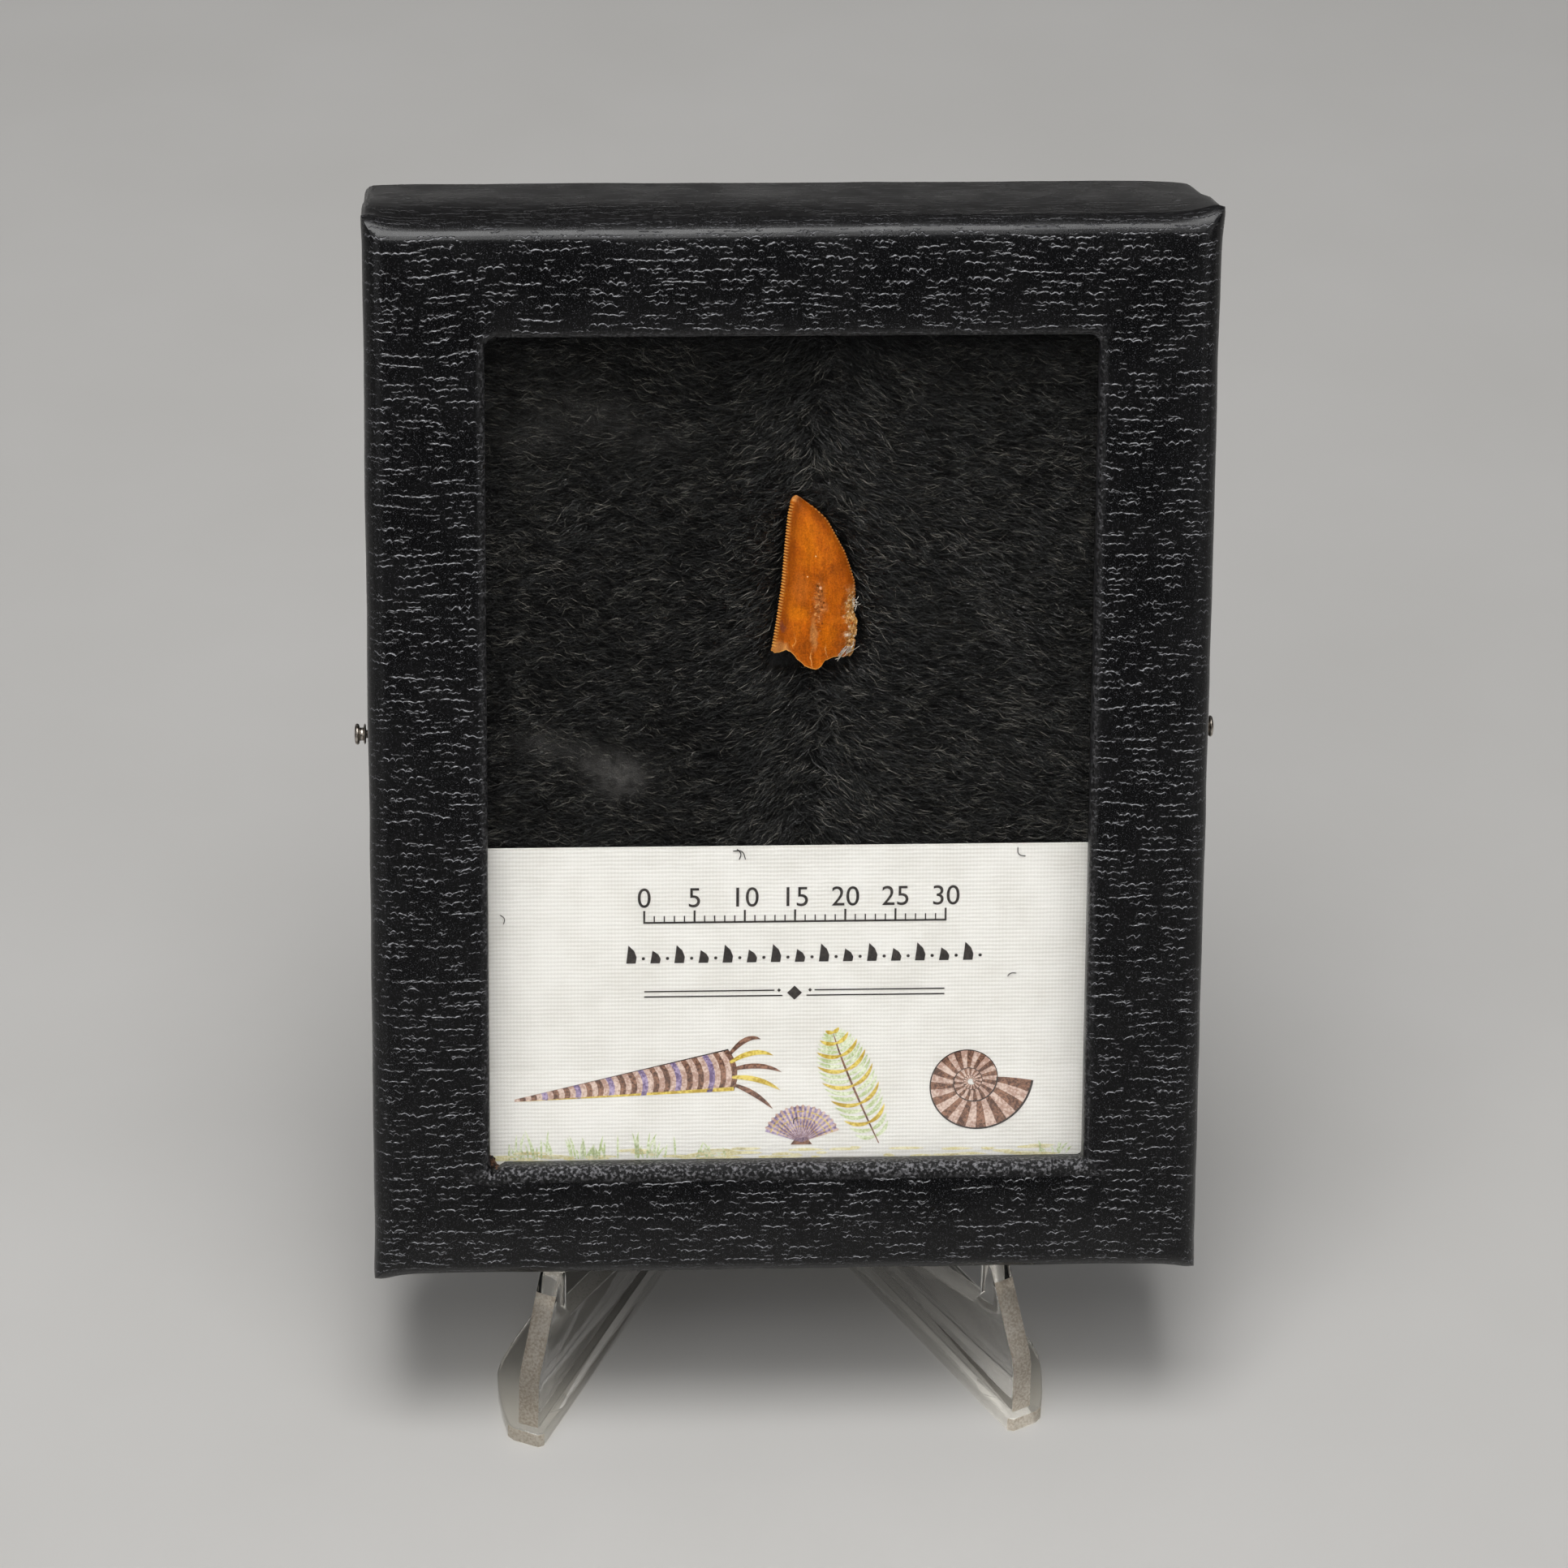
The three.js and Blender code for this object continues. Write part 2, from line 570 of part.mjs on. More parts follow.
const box = new THREE.Group();
box.add(
  piece('tooth', toothGeometry(), MATERIALS.enamel),
  piece('plush_bed', plushGeometry(), MATERIALS.plush),
  piece('label_card', cardGeometry(), MATERIALS.card),
  piece('window_glass', glassGeometry(), MATERIALS.glass),
  piece('lid', lidGeometry(), MATERIALS.coveredBoard),
  piece('tray', trayGeometry(), MATERIALS.trayBoard),
);
for (const [name, side] of [['pin_left', -1], ['pin_right', 1]]) {
  const pin = piece(name, pinGeometry(), MATERIALS.steel);
  pin.rotation.z = (side * Math.PI) / 2;
  pin.position.set(side * (BOX.width / 2 + PIN.headReach), BOX.depth / 2, PIN.height);
  box.add(pin);
}
box.rotation.x = -LEAN;
box.position.z = REST_HEIGHT;

const easel = new THREE.Group();
// A leg's frame starts at its front: it is moved back so that the hinge axis is the group's origin.
const legs = [
  ['easel_left', withClips(legGeometry()), 1],
  ['easel_right', mirrored(withRod(legGeometry())), -1],
];
for (const [name, geometry, side] of legs) {
  const leg = piece(name, geometry.translate(-EASEL.length, 0, 0), MATERIALS.clearPlastic);
  leg.rotation.z = Math.PI / 2 - side * EASEL.splay;
  easel.add(leg);
}
easel.rotation.z = EASEL.turn;
easel.position.set(EASEL.hinge[0], EASEL.hinge[1], 0);

const model = new THREE.Group();
model.add(box, easel);
model.updateMatrixWorld(true);
const bounds = new THREE.Box3().setFromObject(model, true);
const middle = bounds.getCenter(new THREE.Vector3());
model.position.set(-middle.x, -middle.y, -bounds.min.z);

export default model;
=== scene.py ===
"""A serrated dinosaur tooth on a plush bed in a small glazed box, which leans on a clear folding easel.

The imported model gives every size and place. This script gives each piece its finish: the leatherette wrap of
the box, the combed plush, the enamel of the tooth, the laid card with its print, the steel pins and the clear
easel, and it sets them on a pale floor in soft studio light.
"""
import logging
import math
from contextlib import contextmanager
from dataclasses import dataclass, field
from enum import Enum
from functools import partial
from typing import Callable, Iterator, Sequence

import bmesh
import bpy
import numpy as np
from bpy.types import Material, Node, NodeSocket, NodeTree, Object
from mathutils import Matrix, Vector, noise


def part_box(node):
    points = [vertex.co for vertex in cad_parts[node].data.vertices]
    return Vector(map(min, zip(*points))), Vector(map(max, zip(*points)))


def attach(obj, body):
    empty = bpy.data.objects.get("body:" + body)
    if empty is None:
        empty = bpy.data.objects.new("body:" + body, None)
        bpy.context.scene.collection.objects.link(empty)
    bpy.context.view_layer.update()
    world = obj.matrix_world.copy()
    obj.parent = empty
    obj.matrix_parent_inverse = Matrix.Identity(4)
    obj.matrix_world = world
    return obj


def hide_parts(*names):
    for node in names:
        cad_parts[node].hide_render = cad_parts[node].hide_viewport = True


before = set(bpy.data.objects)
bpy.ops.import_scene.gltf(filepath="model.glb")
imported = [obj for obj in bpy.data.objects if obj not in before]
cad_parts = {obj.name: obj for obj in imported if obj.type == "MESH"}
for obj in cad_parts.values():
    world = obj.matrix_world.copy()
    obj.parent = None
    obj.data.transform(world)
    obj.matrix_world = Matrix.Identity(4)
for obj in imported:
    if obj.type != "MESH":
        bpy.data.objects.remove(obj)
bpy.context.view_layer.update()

AddNode = Callable[..., Node]  # add_node with a tree already given
Rows = tuple[tuple[float, ...], ...]  # a table of numbers
log = logging.getLogger("tooth box")

MM = 0.001  # metres in a millimetre
WELD = 1e-6  # points this close, in metres, are one
BANDS = 0.314  # a wave texture's scale over the spacing of its bands


# ---- modelling by hand


class Part(Enum):
    """What an edit picks."""

    VERTS = "VERT"
    EDGES = "EDGE"
    FACES = "FACE"


def select_only(obj: Object) -> None:
    """Deselects everything and makes one object active.

    Args:
        obj: the object.
    """
    bpy.ops.object.select_all(action="DESELECT")
    obj.select_set(True)
    bpy.context.view_layer.objects.active = obj


@contextmanager
def editing(obj: Object) -> Iterator[None]:
    """Holds one object in edit mode.

    Args:
        obj: the mesh object to edit.
    """
    select_only(obj)
    bpy.ops.object.mode_set(mode="EDIT")
    try:
        yield
    finally:
        bpy.ops.object.mode_set(mode="OBJECT")


def pick(obj: Object, part: Part, test: Callable[[Vector, Vector], bool]) -> int:
    """Selects parts of a mesh in edit mode by their place and direction.

    Args:
        obj: the object in edit mode.
        part: whether vertices, edges or faces are picked.
        test: takes a part's middle in millimetres and its normal, or an edge's direction.

    Returns:
        How many parts are picked.
    """
    bpy.ops.mesh.select_mode(type=part.value)
    bpy.ops.mesh.select_all(action="DESELECT")
    mesh = bmesh.from_edit_mesh(obj.data)
    if part is Part.VERTS:
        found = [v for v in mesh.verts if test(v.co / MM, v.normal)]
    elif part is Part.EDGES:
        ends = [(e, e.verts[0].co, e.verts[1].co) for e in mesh.edges]
        found = [e for e, a, b in ends if test((a + b) / 2 / MM, (b - a).normalized())]
    else:
        found = [f for f in mesh.faces if test(f.calc_center_median() / MM, f.normal)]
    for item in found:
        item.select_set(True)
    bmesh.update_edit_mesh(obj.data)
    return len(found)


def turn_outwards() -> None:
    """Turns the faces of the mesh in edit mode outwards."""
    bpy.ops.mesh.select_all(action="SELECT")
    bpy.ops.mesh.normals_make_consistent(inside=False)


def add_alone(add: Callable[..., object], **settings: object) -> Object:
    """Adds a primitive and nothing else to the selection, and puts its place in its mesh.

    Args:
        add: the operator that adds it.
        settings: the operator's settings.

    Returns:
        The new object.
    """
    bpy.ops.object.select_all(action="DESELECT")
    add(**settings)
    bpy.ops.object.transform_apply(location=True, rotation=True, scale=True)
    return bpy.context.object


def add_block(name: str, low: Sequence[float], high: Sequence[float]) -> Object:
    """Adds a block from corner to corner.

    Args:
        name: the object's name.
        low: its lowest corner, in millimetres.
        high: its highest corner, in millimetres.

    Returns:
        The block, with its place in its mesh.
    """
    low, high = Vector(low) * MM, Vector(high) * MM
    block = add_alone(bpy.ops.mesh.primitive_cube_add, size=1, location=(low + high) / 2, scale=high - low)
    block.name = name
    return block


def cut_across(obj: Object, axis: int, places: Sequence[float]) -> None:
    """Bisects a whole mesh square to an axis.

    Args:
        obj: the object to cut.
        axis: 0, 1 or 2.
        places: where the cuts go, in millimetres.
    """
    normal = Vector((axis == 0, axis == 1, axis == 2))
    with editing(obj):
        for place in places:
            bpy.ops.mesh.select_all(action="SELECT")
            bpy.ops.mesh.bisect(plane_co=normal * place * MM, plane_no=normal, threshold=WELD)


def modify(obj: Object, kind: str, **settings: object) -> None:
    """Adds a modifier and applies it.

    Args:
        obj: the object to modify.
        kind: the modifier's type.
        settings: the modifier's settings.
    """
    select_only(obj)
    modifier = obj.modifiers.new(kind.title(), kind)
    for name, value in settings.items():
        setattr(modifier, name, value)
    bpy.ops.object.modifier_apply(modifier=modifier.name)


def smooth(obj: Object, angle: float = 35) -> None:
    """Shades faces smooth where they meet at less than an angle in degrees."""
    select_only(obj)
    bpy.ops.object.shade_smooth_by_angle(angle=math.radians(angle))


def points_of(obj: Object) -> np.ndarray:
    """The places of a mesh's vertices, in millimetres, one row each.

    Args:
        obj: the mesh object.

    Returns:
        Their places.
    """
    flat = np.empty(len(obj.data.vertices) * 3)
    obj.data.vertices.foreach_get("co", flat)
    return flat.reshape(-1, 3) / MM


def move_points(obj: Object, points: np.ndarray) -> None:
    """Moves a mesh's vertices to new places, in millimetres."""
    obj.data.vertices.foreach_set("co", (points * MM).ravel())
    obj.data.update()


def ramp(value: np.ndarray | float, low: float, high: float) -> np.ndarray:
    """A smooth step from 0 at low to 1 at high."""
    share = np.clip((np.asarray(value, float) - low) / (high - low), 0, 1)
    return share * share * (3 - 2 * share)


def rough(points: np.ndarray, size: float, seed: float = 0) -> np.ndarray:
    """Smooth noise between about -1 and 1 at each of some points.

    Args:
        points: places in millimetres, along the last axis.
        size: how far apart the noise's bumps are, in millimetres.
        seed: a shift that picks another stretch of noise.

    Returns:
        One value for each point.
    """
    shift = Vector((seed, seed, seed))
    values = [noise.noise(Vector(place) / size + shift) for place in points.reshape(-1, 3)]
    return np.array(values).reshape(points.shape[:-1])


def places_at(x: np.ndarray | float, y: np.ndarray | float, z: np.ndarray | float) -> np.ndarray:
    """Places from their coordinates, which lie along the last axis."""
    return np.stack(np.broadcast_arrays(x, y, z), axis=-1)


def add_object(name: str, data: bpy.types.ID) -> Object:
    """Adds an object that shows a mesh, a curve, a lamp or a camera.

    Args:
        name: the object's name.
        data: what it shows.

    Returns:
        The object.
    """
    obj = bpy.data.objects.new(name, data)
    bpy.context.scene.collection.objects.link(obj)
    return obj


def add_mesh(name: str, points: Sequence[Sequence[float]], faces: Sequence[Sequence[int]]) -> Object:
    """Adds an object with a mesh.

    Args:
        name: the object's name.
        points: the places of its vertices, in metres.
        faces: the numbers of each face's vertices; pairs make edges.

    Returns:
        The object.
    """
    mesh = bpy.data.meshes.new(name)
    edges = [face for face in faces if len(face) == 2]
    mesh.from_pydata(points, edges, [] if edges else faces)
    return add_object(name, mesh)


def add_grid(name: str, columns: int, rows: int) -> tuple[Object, np.ndarray]:
    """Adds a flat grid, and gives the share of the way across and up it of each vertex, less a half.

    Args:
        name: the object's name.
        columns: how many cells it has across.
        rows: how many it has up.

    Returns:
        The grid, and both shares of each vertex.
    """
    grid = add_alone(bpy.ops.mesh.primitive_grid_add, x_subdivisions=columns, y_subdivisions=rows, size=1)
    grid.name = name
    return grid, (points_of(grid) * MM).T[:2]


def add_layer(obj: Object, name: str, values: np.ndarray) -> None:
    """Writes one number for each vertex of a mesh, for its material to read."""
    obj.data.attributes.new(name, "FLOAT", "POINT").data.foreach_set("value", values)


def dress(obj: Object, finishes: Sequence[Material]) -> None:
    """Gives an object its materials in place of any that it has.

    Args:
        obj: the object.
        finishes: its materials.
    """
    obj.data.materials.clear()
    for finish in finishes:
        obj.data.materials.append(finish)


def refined_copy(node: str, name: str) -> Object:
    """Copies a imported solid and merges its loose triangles, as a start for a finer piece.

    Args:
        node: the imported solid's name.
        name: the copy's name.

    Returns:
        The copy.
    """
    copy = add_object(name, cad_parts[node].data.copy())
    with editing(copy):
        bpy.ops.mesh.select_all(action="SELECT")
        bpy.ops.mesh.remove_doubles(threshold=WELD)
        bpy.ops.mesh.dissolve_limited(angle_limit=math.radians(0.5))
    return copy


def thread(name: str, points: Sequence[Sequence[float]], thickness: float) -> Object:
    """A fine round fibre along a smooth line.

    Args:
        name: the object's name.
        points: the places it passes, in millimetres.
        thickness: its diameter in millimetres.

    Returns:
        The fibre as a mesh.
    """
    curve = bpy.data.curves.new(name, "CURVE")
    curve.dimensions = "3D"
    curve.bevel_depth = thickness / 2 * MM
    curve.bevel_resolution = 1
    curve.use_fill_caps = True
    line = curve.splines.new("NURBS")
    line.points.add(len(points) - 1)
    for place, point in zip(points, line.points):
        point.co = (*(Vector(place) * MM), 1)
    line.order_u = 3
    line.use_endpoint_u = True
    line.resolution_u = 4
    select_only(add_object(name, curve))
    bpy.ops.object.convert(target="MESH")
    return bpy.context.object


def join(name: str, objects: Sequence[Object]) -> Object:
    """Joins objects into one that keeps their materials.

    Args:
        name: the whole's name.
        objects: what it is made of.

    Returns:
        The whole.
    """
    bpy.ops.object.select_all(action="DESELECT")
    for obj in objects:
        obj.select_set(True)
    bpy.context.view_layer.objects.active = objects[0]
    bpy.ops.object.join()
    objects[0].name = name
    return objects[0]


def finish_piece(
    obj: Object, finishes: Sequence[Material],
    place: Matrix | None = None, replaced: Sequence[str] = (),
) -> None:
    """Puts a finished piece in its place on the model.

    Args:
        obj: the piece.
        finishes: its materials; with none given it keeps its own.
        place: moves its mesh from the frame it was made in into the model's.
        replaced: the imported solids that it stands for.
    """
    if place is not None:
        obj.data.transform(place)
    if finishes:
        dress(obj, finishes)
    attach(obj, "root")
    if replaced:
        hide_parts(*replaced)
    log.info("%s: %d faces", obj.name, len(obj.data.polygons))


# ---- finishes


def linear(colour: str) -> tuple[float, float, float, float]:
    """Turns an sRGB hex colour to linear light.

    Args:
        colour: the colour as #rrggbb.

    Returns:
        Red, green, blue and an alpha of 1.
    """
    shares = [int(colour[i : i + 2], 16) / 255 for i in (1, 3, 5)]
    return (*(s / 12.92 if s <= 0.04045 else ((s + 0.055) / 1.055) ** 2.4 for s in shares), 1.0)


def add_node(tree: NodeTree, kind: str, *feeds: object, **settings: object) -> Node:
    """Adds a shader node with its settings and links.

    Args:
        tree: the material's or world's nodes.
        kind: the node's type, without ShaderNode before it. A maths node's operation or what a mix node mixes
            follows a dot.
        feeds: what goes into the inputs in use, in order: a number, a vector, a colour as #rrggbb, another
            node's output, or a node for its first output in use.
        settings: a name with a capital is an input, its spaces as underscores, and takes the same. Stops are
            a colour ramp's places and colours, and any other name is the node's own property.

    Returns:
        The node.
    """
    kind, _, mode = kind.partition(".")
    node = tree.nodes.new(f"ShaderNode{kind}")
    if mode:
        settings["operation" if "Math" in kind else "data_type"] = mode
    named = {name.replace("_", " "): settings.pop(name) for name in list(settings) if name[0].isupper()}
    stops = settings.pop("stops", ())
    for _ in stops[2:]:
        node.color_ramp.elements.new(0.5)
    for stop, (place, colour) in enumerate(stops):
        node.color_ramp.elements[stop].position = place
        node.color_ramp.elements[stop].color = linear(colour)
    for name, value in settings.items():
        setattr(node, name, value)
    in_use = (socket for socket in node.inputs if socket.enabled)
    for socket, feed in [*zip(in_use, feeds), *((node.inputs[name], feed) for name, feed in named.items())]:
        if isinstance(feed, Node):
            feed = next(output for output in feed.outputs if output.enabled)
        if isinstance(feed, NodeSocket):
            tree.links.new(feed, socket)
        else:
            socket.default_value = linear(feed) if isinstance(feed, str) else feed
    return node


class Finish:
    """What a surface is made of. Each kind gives its surface's shader, built from nodes."""

    name: str

    def surface(self, add: AddNode, *places: object) -> Node:
        """Adds the nodes of its surface, with a function that adds one, and gives the last."""
        raise NotImplementedError

    def material(self, *places: object) -> Material:
        """Builds the finish as a material.

        Args:
            places: the frame or frames that its patterns lie in, if it has any.

        Returns:
            The material.
        """
        material = bpy.data.materials.new(self.name)
        material.use_nodes = True
        material.node_tree.nodes.clear()
        add = partial(add_node, material.node_tree)
        add("OutputMaterial", self.surface(add, *places))
        return material


@dataclass(frozen=True)
class BoxFrame:
    """Where the box stands. Its own axes are x to the right, y into the box and z up its face."""

    width: float = 82.55
    height: float = 107.95
    depth: float = 19.05
    lean: float = math.radians(17)  # how far the box leans back
    glass_depth: float = 3.8  # middle of the pane below the lid's face

    @property
    def to_model(self) -> Matrix:
        """Places the box's own metres in the model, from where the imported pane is.

        Returns:
            The place as a matrix.
        """
        low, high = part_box("window_glass")
        turn = Matrix.Rotation(-self.lean, 4, "X")
        pane = Vector((0, self.glass_depth, self.height / 2)) * MM
        return Matrix.Translation((low + high) / 2 - turn @ pane) @ turn

    def coordinates(self, add: AddNode) -> Node:
        """Adds nodes that give a point's place in the box's own millimetres.

        Args:
            add: adds a node to the material.

        Returns:
            The last of them.
        """
        back = self.to_model.inverted().translation / MM
        return add("Mapping", add("TexCoord").outputs["Object"], Location=back, Rotation=(self.lean, 0, 0),
                   Scale=(1 / MM,) * 3)

    def normal(self, add: AddNode) -> Node:
        """Adds nodes that give the surface's normal along the box's own axes."""
        return add("Mapping", add("TexCoord").outputs["Normal"], vector_type="VECTOR",
                   Rotation=(self.lean, 0, 0))


@dataclass(frozen=True)
class Crackle:
    """One size of crack in a leather grain: broken chains of small arches that run across the sheet."""

    row: float  # spacing of the rows that cracks lie in, in millimetres
    chain: float  # longest chain
    share: float  # how many of the places for a chain have one
    arch: float  # width of one arch
    rise: float
    lip: float  # width of the lip that looks up
    seed: float

    def nodes(self, add: AddNode, across: Node, up: Node) -> tuple[Node, Node]:
        """Adds the cracks.

        Args:
            add: adds a node to the material.
            across: the place across the sheet, in millimetres.
            up: the place up the sheet.

        Returns:
            How deep in a crack a point is, and how much it is on the lip that looks up, where a painted
            highlight goes, both from 0 to 1.
        """
        place = add("CombineXYZ", across, up, self.seed)
        wander = add("TexNoise", place, Scale=0.16 / self.row, Detail=1.0)
        bent = add("VectorMath.MULTIPLY_ADD", wander.outputs["Color"], (3.4 * self.row, 1.7 * self.row, 0),
                   place)
        parts = add("SeparateXYZ", bent)
        rows = add("Math.DIVIDE", parts.outputs["Y"], self.row)
        row = add("Math.FLOOR", rows)
        within = add("Math.FRACT", rows)
        shift = add("TexWhiteNoise", row, noise_dimensions="1D")
        steps = add("Math.MULTIPLY_ADD", parts.outputs["X"], 1 / self.chain, shift)
        chain = add("Math.FLOOR", steps)
        along = add("Math.FRACT", steps)
        cell = add("CombineXYZ", chain, row, self.seed)
        luck = add("SeparateXYZ", add("TexWhiteNoise", cell).outputs["Color"])
        there = add("Math.LESS_THAN", luck.outputs["X"], self.share)
        first = add("Math.MULTIPLY", luck.outputs["Y"], 0.4)
        starts = add("Math.SUBTRACT", along, first)
        last = add("Math.MULTIPLY_ADD", luck.outputs["Z"], -0.4, 1.0)
        ends = add("Math.SUBTRACT", last, along)
        from_end = add("Math.MINIMUM", starts, ends)
        drawn = add("MapRange", from_end, 0, 0.08, 0, there)
        ripple = add("TexNoise", place, Scale=0.8 / self.arch, Detail=1.0)
        even = add("Math.MULTIPLY", across, math.pi / self.arch)
        turns = add("Math.MULTIPLY_ADD", ripple, 5.0, even)
        wave = add("Math.SINE", turns)
        arch = add("Math.ABSOLUTE", wave)
        line = add("Math.MULTIPLY_ADD", luck.outputs["Y"], 0.3, 0.25)
        steep = add("MapRange", luck.outputs["Z"], 0, 1, 0.35 * self.rise / self.row,
                    1.25 * self.rise / self.row)
        arched = add("Math.MULTIPLY_ADD", arch, steep, line)
        over = add("Math.SUBTRACT", within, arched)
        wide = self.lip / self.row
        below = add("MapRange", over, -1.5 * wide, 0.0, interpolation_type="SMOOTHSTEP")
        above = add("MapRange", over, 0.7 * wide, 0.0, 0, drawn, interpolation_type="SMOOTHSTEP")
        depth = add("Math.MULTIPLY", below, above)
        near = add("MapRange", over, -1.25 * wide, -0.8 * wide, 0, drawn)
        edge = add("MapRange", over, 0.0, -0.3 * wide, 0, near)
        return depth, edge


@dataclass(frozen=True)
class Leatherette(Finish):
    """Coated paper pressed with a leather grain: chains of arched cracks cross it, between fine grit."""

    name: str = "embossed leatherette paper"
    colour: str = "#040405"
    rubbed: str = "#080809"  # where handling has polished the coating
    speck: str = "#4a4a4d"  # painted sparkle on the high grains of the coating
    lip: str = "#98989c"  # painted highlight on the cracks' lips that look up
    dust: str = "#221e1b"  # lies on the faces that look up
    worn: str = "#868588"  # painted highlight on the tops of the crushed grain round the window
    board: str = "#15110e"  # the sheet's cut edge
    roughness: float = 0.27
    shine: float = 0.3  # how much the coating mirrors, against 0.5 for plain plastic
    relief: float = 0.08  # depth of the emboss
    grit: float = 0.13  # drawn as coarse as a render shows
    wide: Crackle = Crackle(row=1.15, chain=5.2, share=0.9, arch=0.9, rise=0.26, lip=0.11, seed=0.0)
    fine: Crackle = Crackle(row=0.58, chain=1.4, share=0.46, arch=0.58, rise=0.17, lip=0.09, seed=40.0)

    def surface(self, add: AddNode, place: BoxFrame) -> Node:
        """It mirrors lamps on the lips of its cracks, which also carry painted highlights, and stays black
        between them.

        Args:
            add: adds a node to the material.
            place: the frame that its patterns lie in.

        Returns:
            The shader.
        """
        at = add("SeparateXYZ", place.coordinates(add))
        facing = add("SeparateXYZ", place.normal(add))
        # The sheet is folded round the box, so its own two axes run on over the edges.
        across, up = (add("Math.MULTIPLY_ADD", facing.outputs[axis], at.outputs["Y"],
                          at.outputs[axis]) for axis in ("X", "Z"))
        sheet = add("CombineXYZ", across, up)
        wide_depth, wide_lip_highlight = self.wide.nodes(add, across, up)
        fine_depth, fine_lip_highlight = self.fine.nodes(add, across, up)
        grit = add("TexNoise", sheet, noise_dimensions="2D", Scale=1 / self.grit, Detail=2.0)
        fine = add("Math.MULTIPLY", fine_depth, 0.6)
        cracks = add("Math.MAXIMUM", wide_depth, fine)
        sunk = add("Math.MULTIPLY", cracks, -1.0)
        height = add("Math.MULTIPLY_ADD", grit, 0.14, sunk)
        # Folding has stretched the grain flat along the rolled edges.
        turned = add("Math.ABSOLUTE", facing.outputs["Y"])
        stretch = add("ValToRGB", turned,
                      stops=[(0.0, "#a0a0a0"), (0.3, "#9a9a9a"), (0.8, "#b4b4b4"), (1.0, "#ffffff")])
        folded = add("Math.MULTIPLY", height, stretch)
        # Round the window the sheet is crushed into pebbles whose tops take painted highlights, and its cut
        # edge shows below the pane.
        inner = add("Attribute", attribute_name="inner").outputs["Fac"]
        pebbles = add("TexNoise", place.coordinates(add), Scale=1 / 0.34, Detail=3.0)
        crushed = add("Math.MULTIPLY", pebbles, 3.4)
        pressed = add("Mix", inner, folded, crushed)
        bump = add("Bump", Height=pressed, Strength=1.0, Distance=self.relief * MM)
        rubbing = add("TexNoise", sheet, noise_dimensions="2D", Scale=0.16, Detail=4.0)
        tone = add("ValToRGB", rubbing, stops=[(0.40, self.colour), (0.72, self.rubbed)])
        settled = add("MapRange", facing.outputs["Z"], 0.5, 1.0, 0, 0.15)
        dusty = add("Mix.RGBA", settled, tone, self.dust)
        wear = add("TexNoise", sheet, noise_dimensions="2D", Scale=2.6, Detail=2.0)
        patchy = add("MapRange", wear, 0.42, 0.6, 0.1, 1.0)
        # Painted sparkle: lighter specks on the high grit, in patches.
        painted_sparkle = add("MapRange", grit, 0.56, 0.74, 0, patchy)
        # Painted highlights on the lips of the cracks that look up, kept fainter on the rolled edges.
        faint = add("Math.MULTIPLY", fine_lip_highlight, 0.6)
        lips = add("Math.MAXIMUM", wide_lip_highlight, faint)
        kept = add("MapRange", wear, 0.38, 0.62, 0.12, stretch)
        shown = add("Math.MULTIPLY", lips, kept)
        with_sparkle = add("Mix.RGBA", painted_sparkle, dusty, self.speck)
        with_lip_highlights = add("Mix.RGBA", shown, with_sparkle, self.lip)
        gloss = add("MapRange", rubbing, 0.3, 0.7, self.roughness + 0.06, self.roughness - 0.05)
        tops = add("MapRange", pebbles, 0.48, 0.7)
        pebble_highlights = add("Mix.RGBA", tops, self.colour, self.worn)
        cut = add("MapRange", at.outputs["Y"], 2.25, 2.5)
        bared = add("Mix.RGBA", cut, pebble_highlights, self.board)
        edged = add("Mix.RGBA", inner, with_lip_highlights, bared)
        dull = add("Mix", inner, gloss, 0.55)
        return add("BsdfPrincipled", edged, Roughness=dull, Normal=bump,
                   Specular_IOR_Level=self.shine)


@dataclass(frozen=True)
class TornPaper(Finish):
    """Torn edge of the wrap: brown paper core with scraps of the black coating."""

    name: str = "torn leatherette core"

    def surface(self, add: AddNode, place: BoxFrame) -> Node:
        """Scraps of coating over a rough brown core.

        Args:
            add: adds a node to the material.
            place: the frame that its patterns lie in.

        Returns:
            The shader.
        """
        scraps = add("TexNoise", place.coordinates(add), Scale=2.4, Detail=5.0)
        tone = add("ValToRGB", scraps,
                   stops=[(0.38, "#0a0807"), (0.5, "#2b1a12"), (0.6, "#5d3f2c"), (0.68, "#8a6a4e")])
        bump = add("Bump", Height=scraps, Strength=1.0, Distance=0.08 * MM)
        return add("BsdfPrincipled", tone, Normal=bump, Roughness=0.8)


@dataclass(frozen=True)
class CoverPaper(Finish):
    """Plain uncoated black paper on greyboard: a dull, slightly mottled black with fine fibres."""

    name: str = "black cover paper"
    colour: str = "#131314"
    faded: str = "#1f1f20"
    fibre: float = 0.35

    def surface(self, add: AddNode, place: BoxFrame) -> Node:
        """A faint mottle over fine fibres.

        Args:
            add: adds a node to the material.
            place: the frame that its patterns lie in.

        Returns:
            The shader.
        """
        at = place.coordinates(add)
        mottle = add("TexNoise", at, Scale=0.3, Detail=5.0)
        fibres = add("TexNoise", at, Scale=1 / self.fibre, Detail=4.0, Distortion=1.5)
        tone = add("ValToRGB", mottle, stops=[(0.35, self.colour), (0.7, self.faded)])
        bump = add("Bump", Height=fibres, Strength=0.6, Distance=0.05 * MM)
        return add("BsdfPrincipled", tone, Normal=bump, Roughness=0.72)


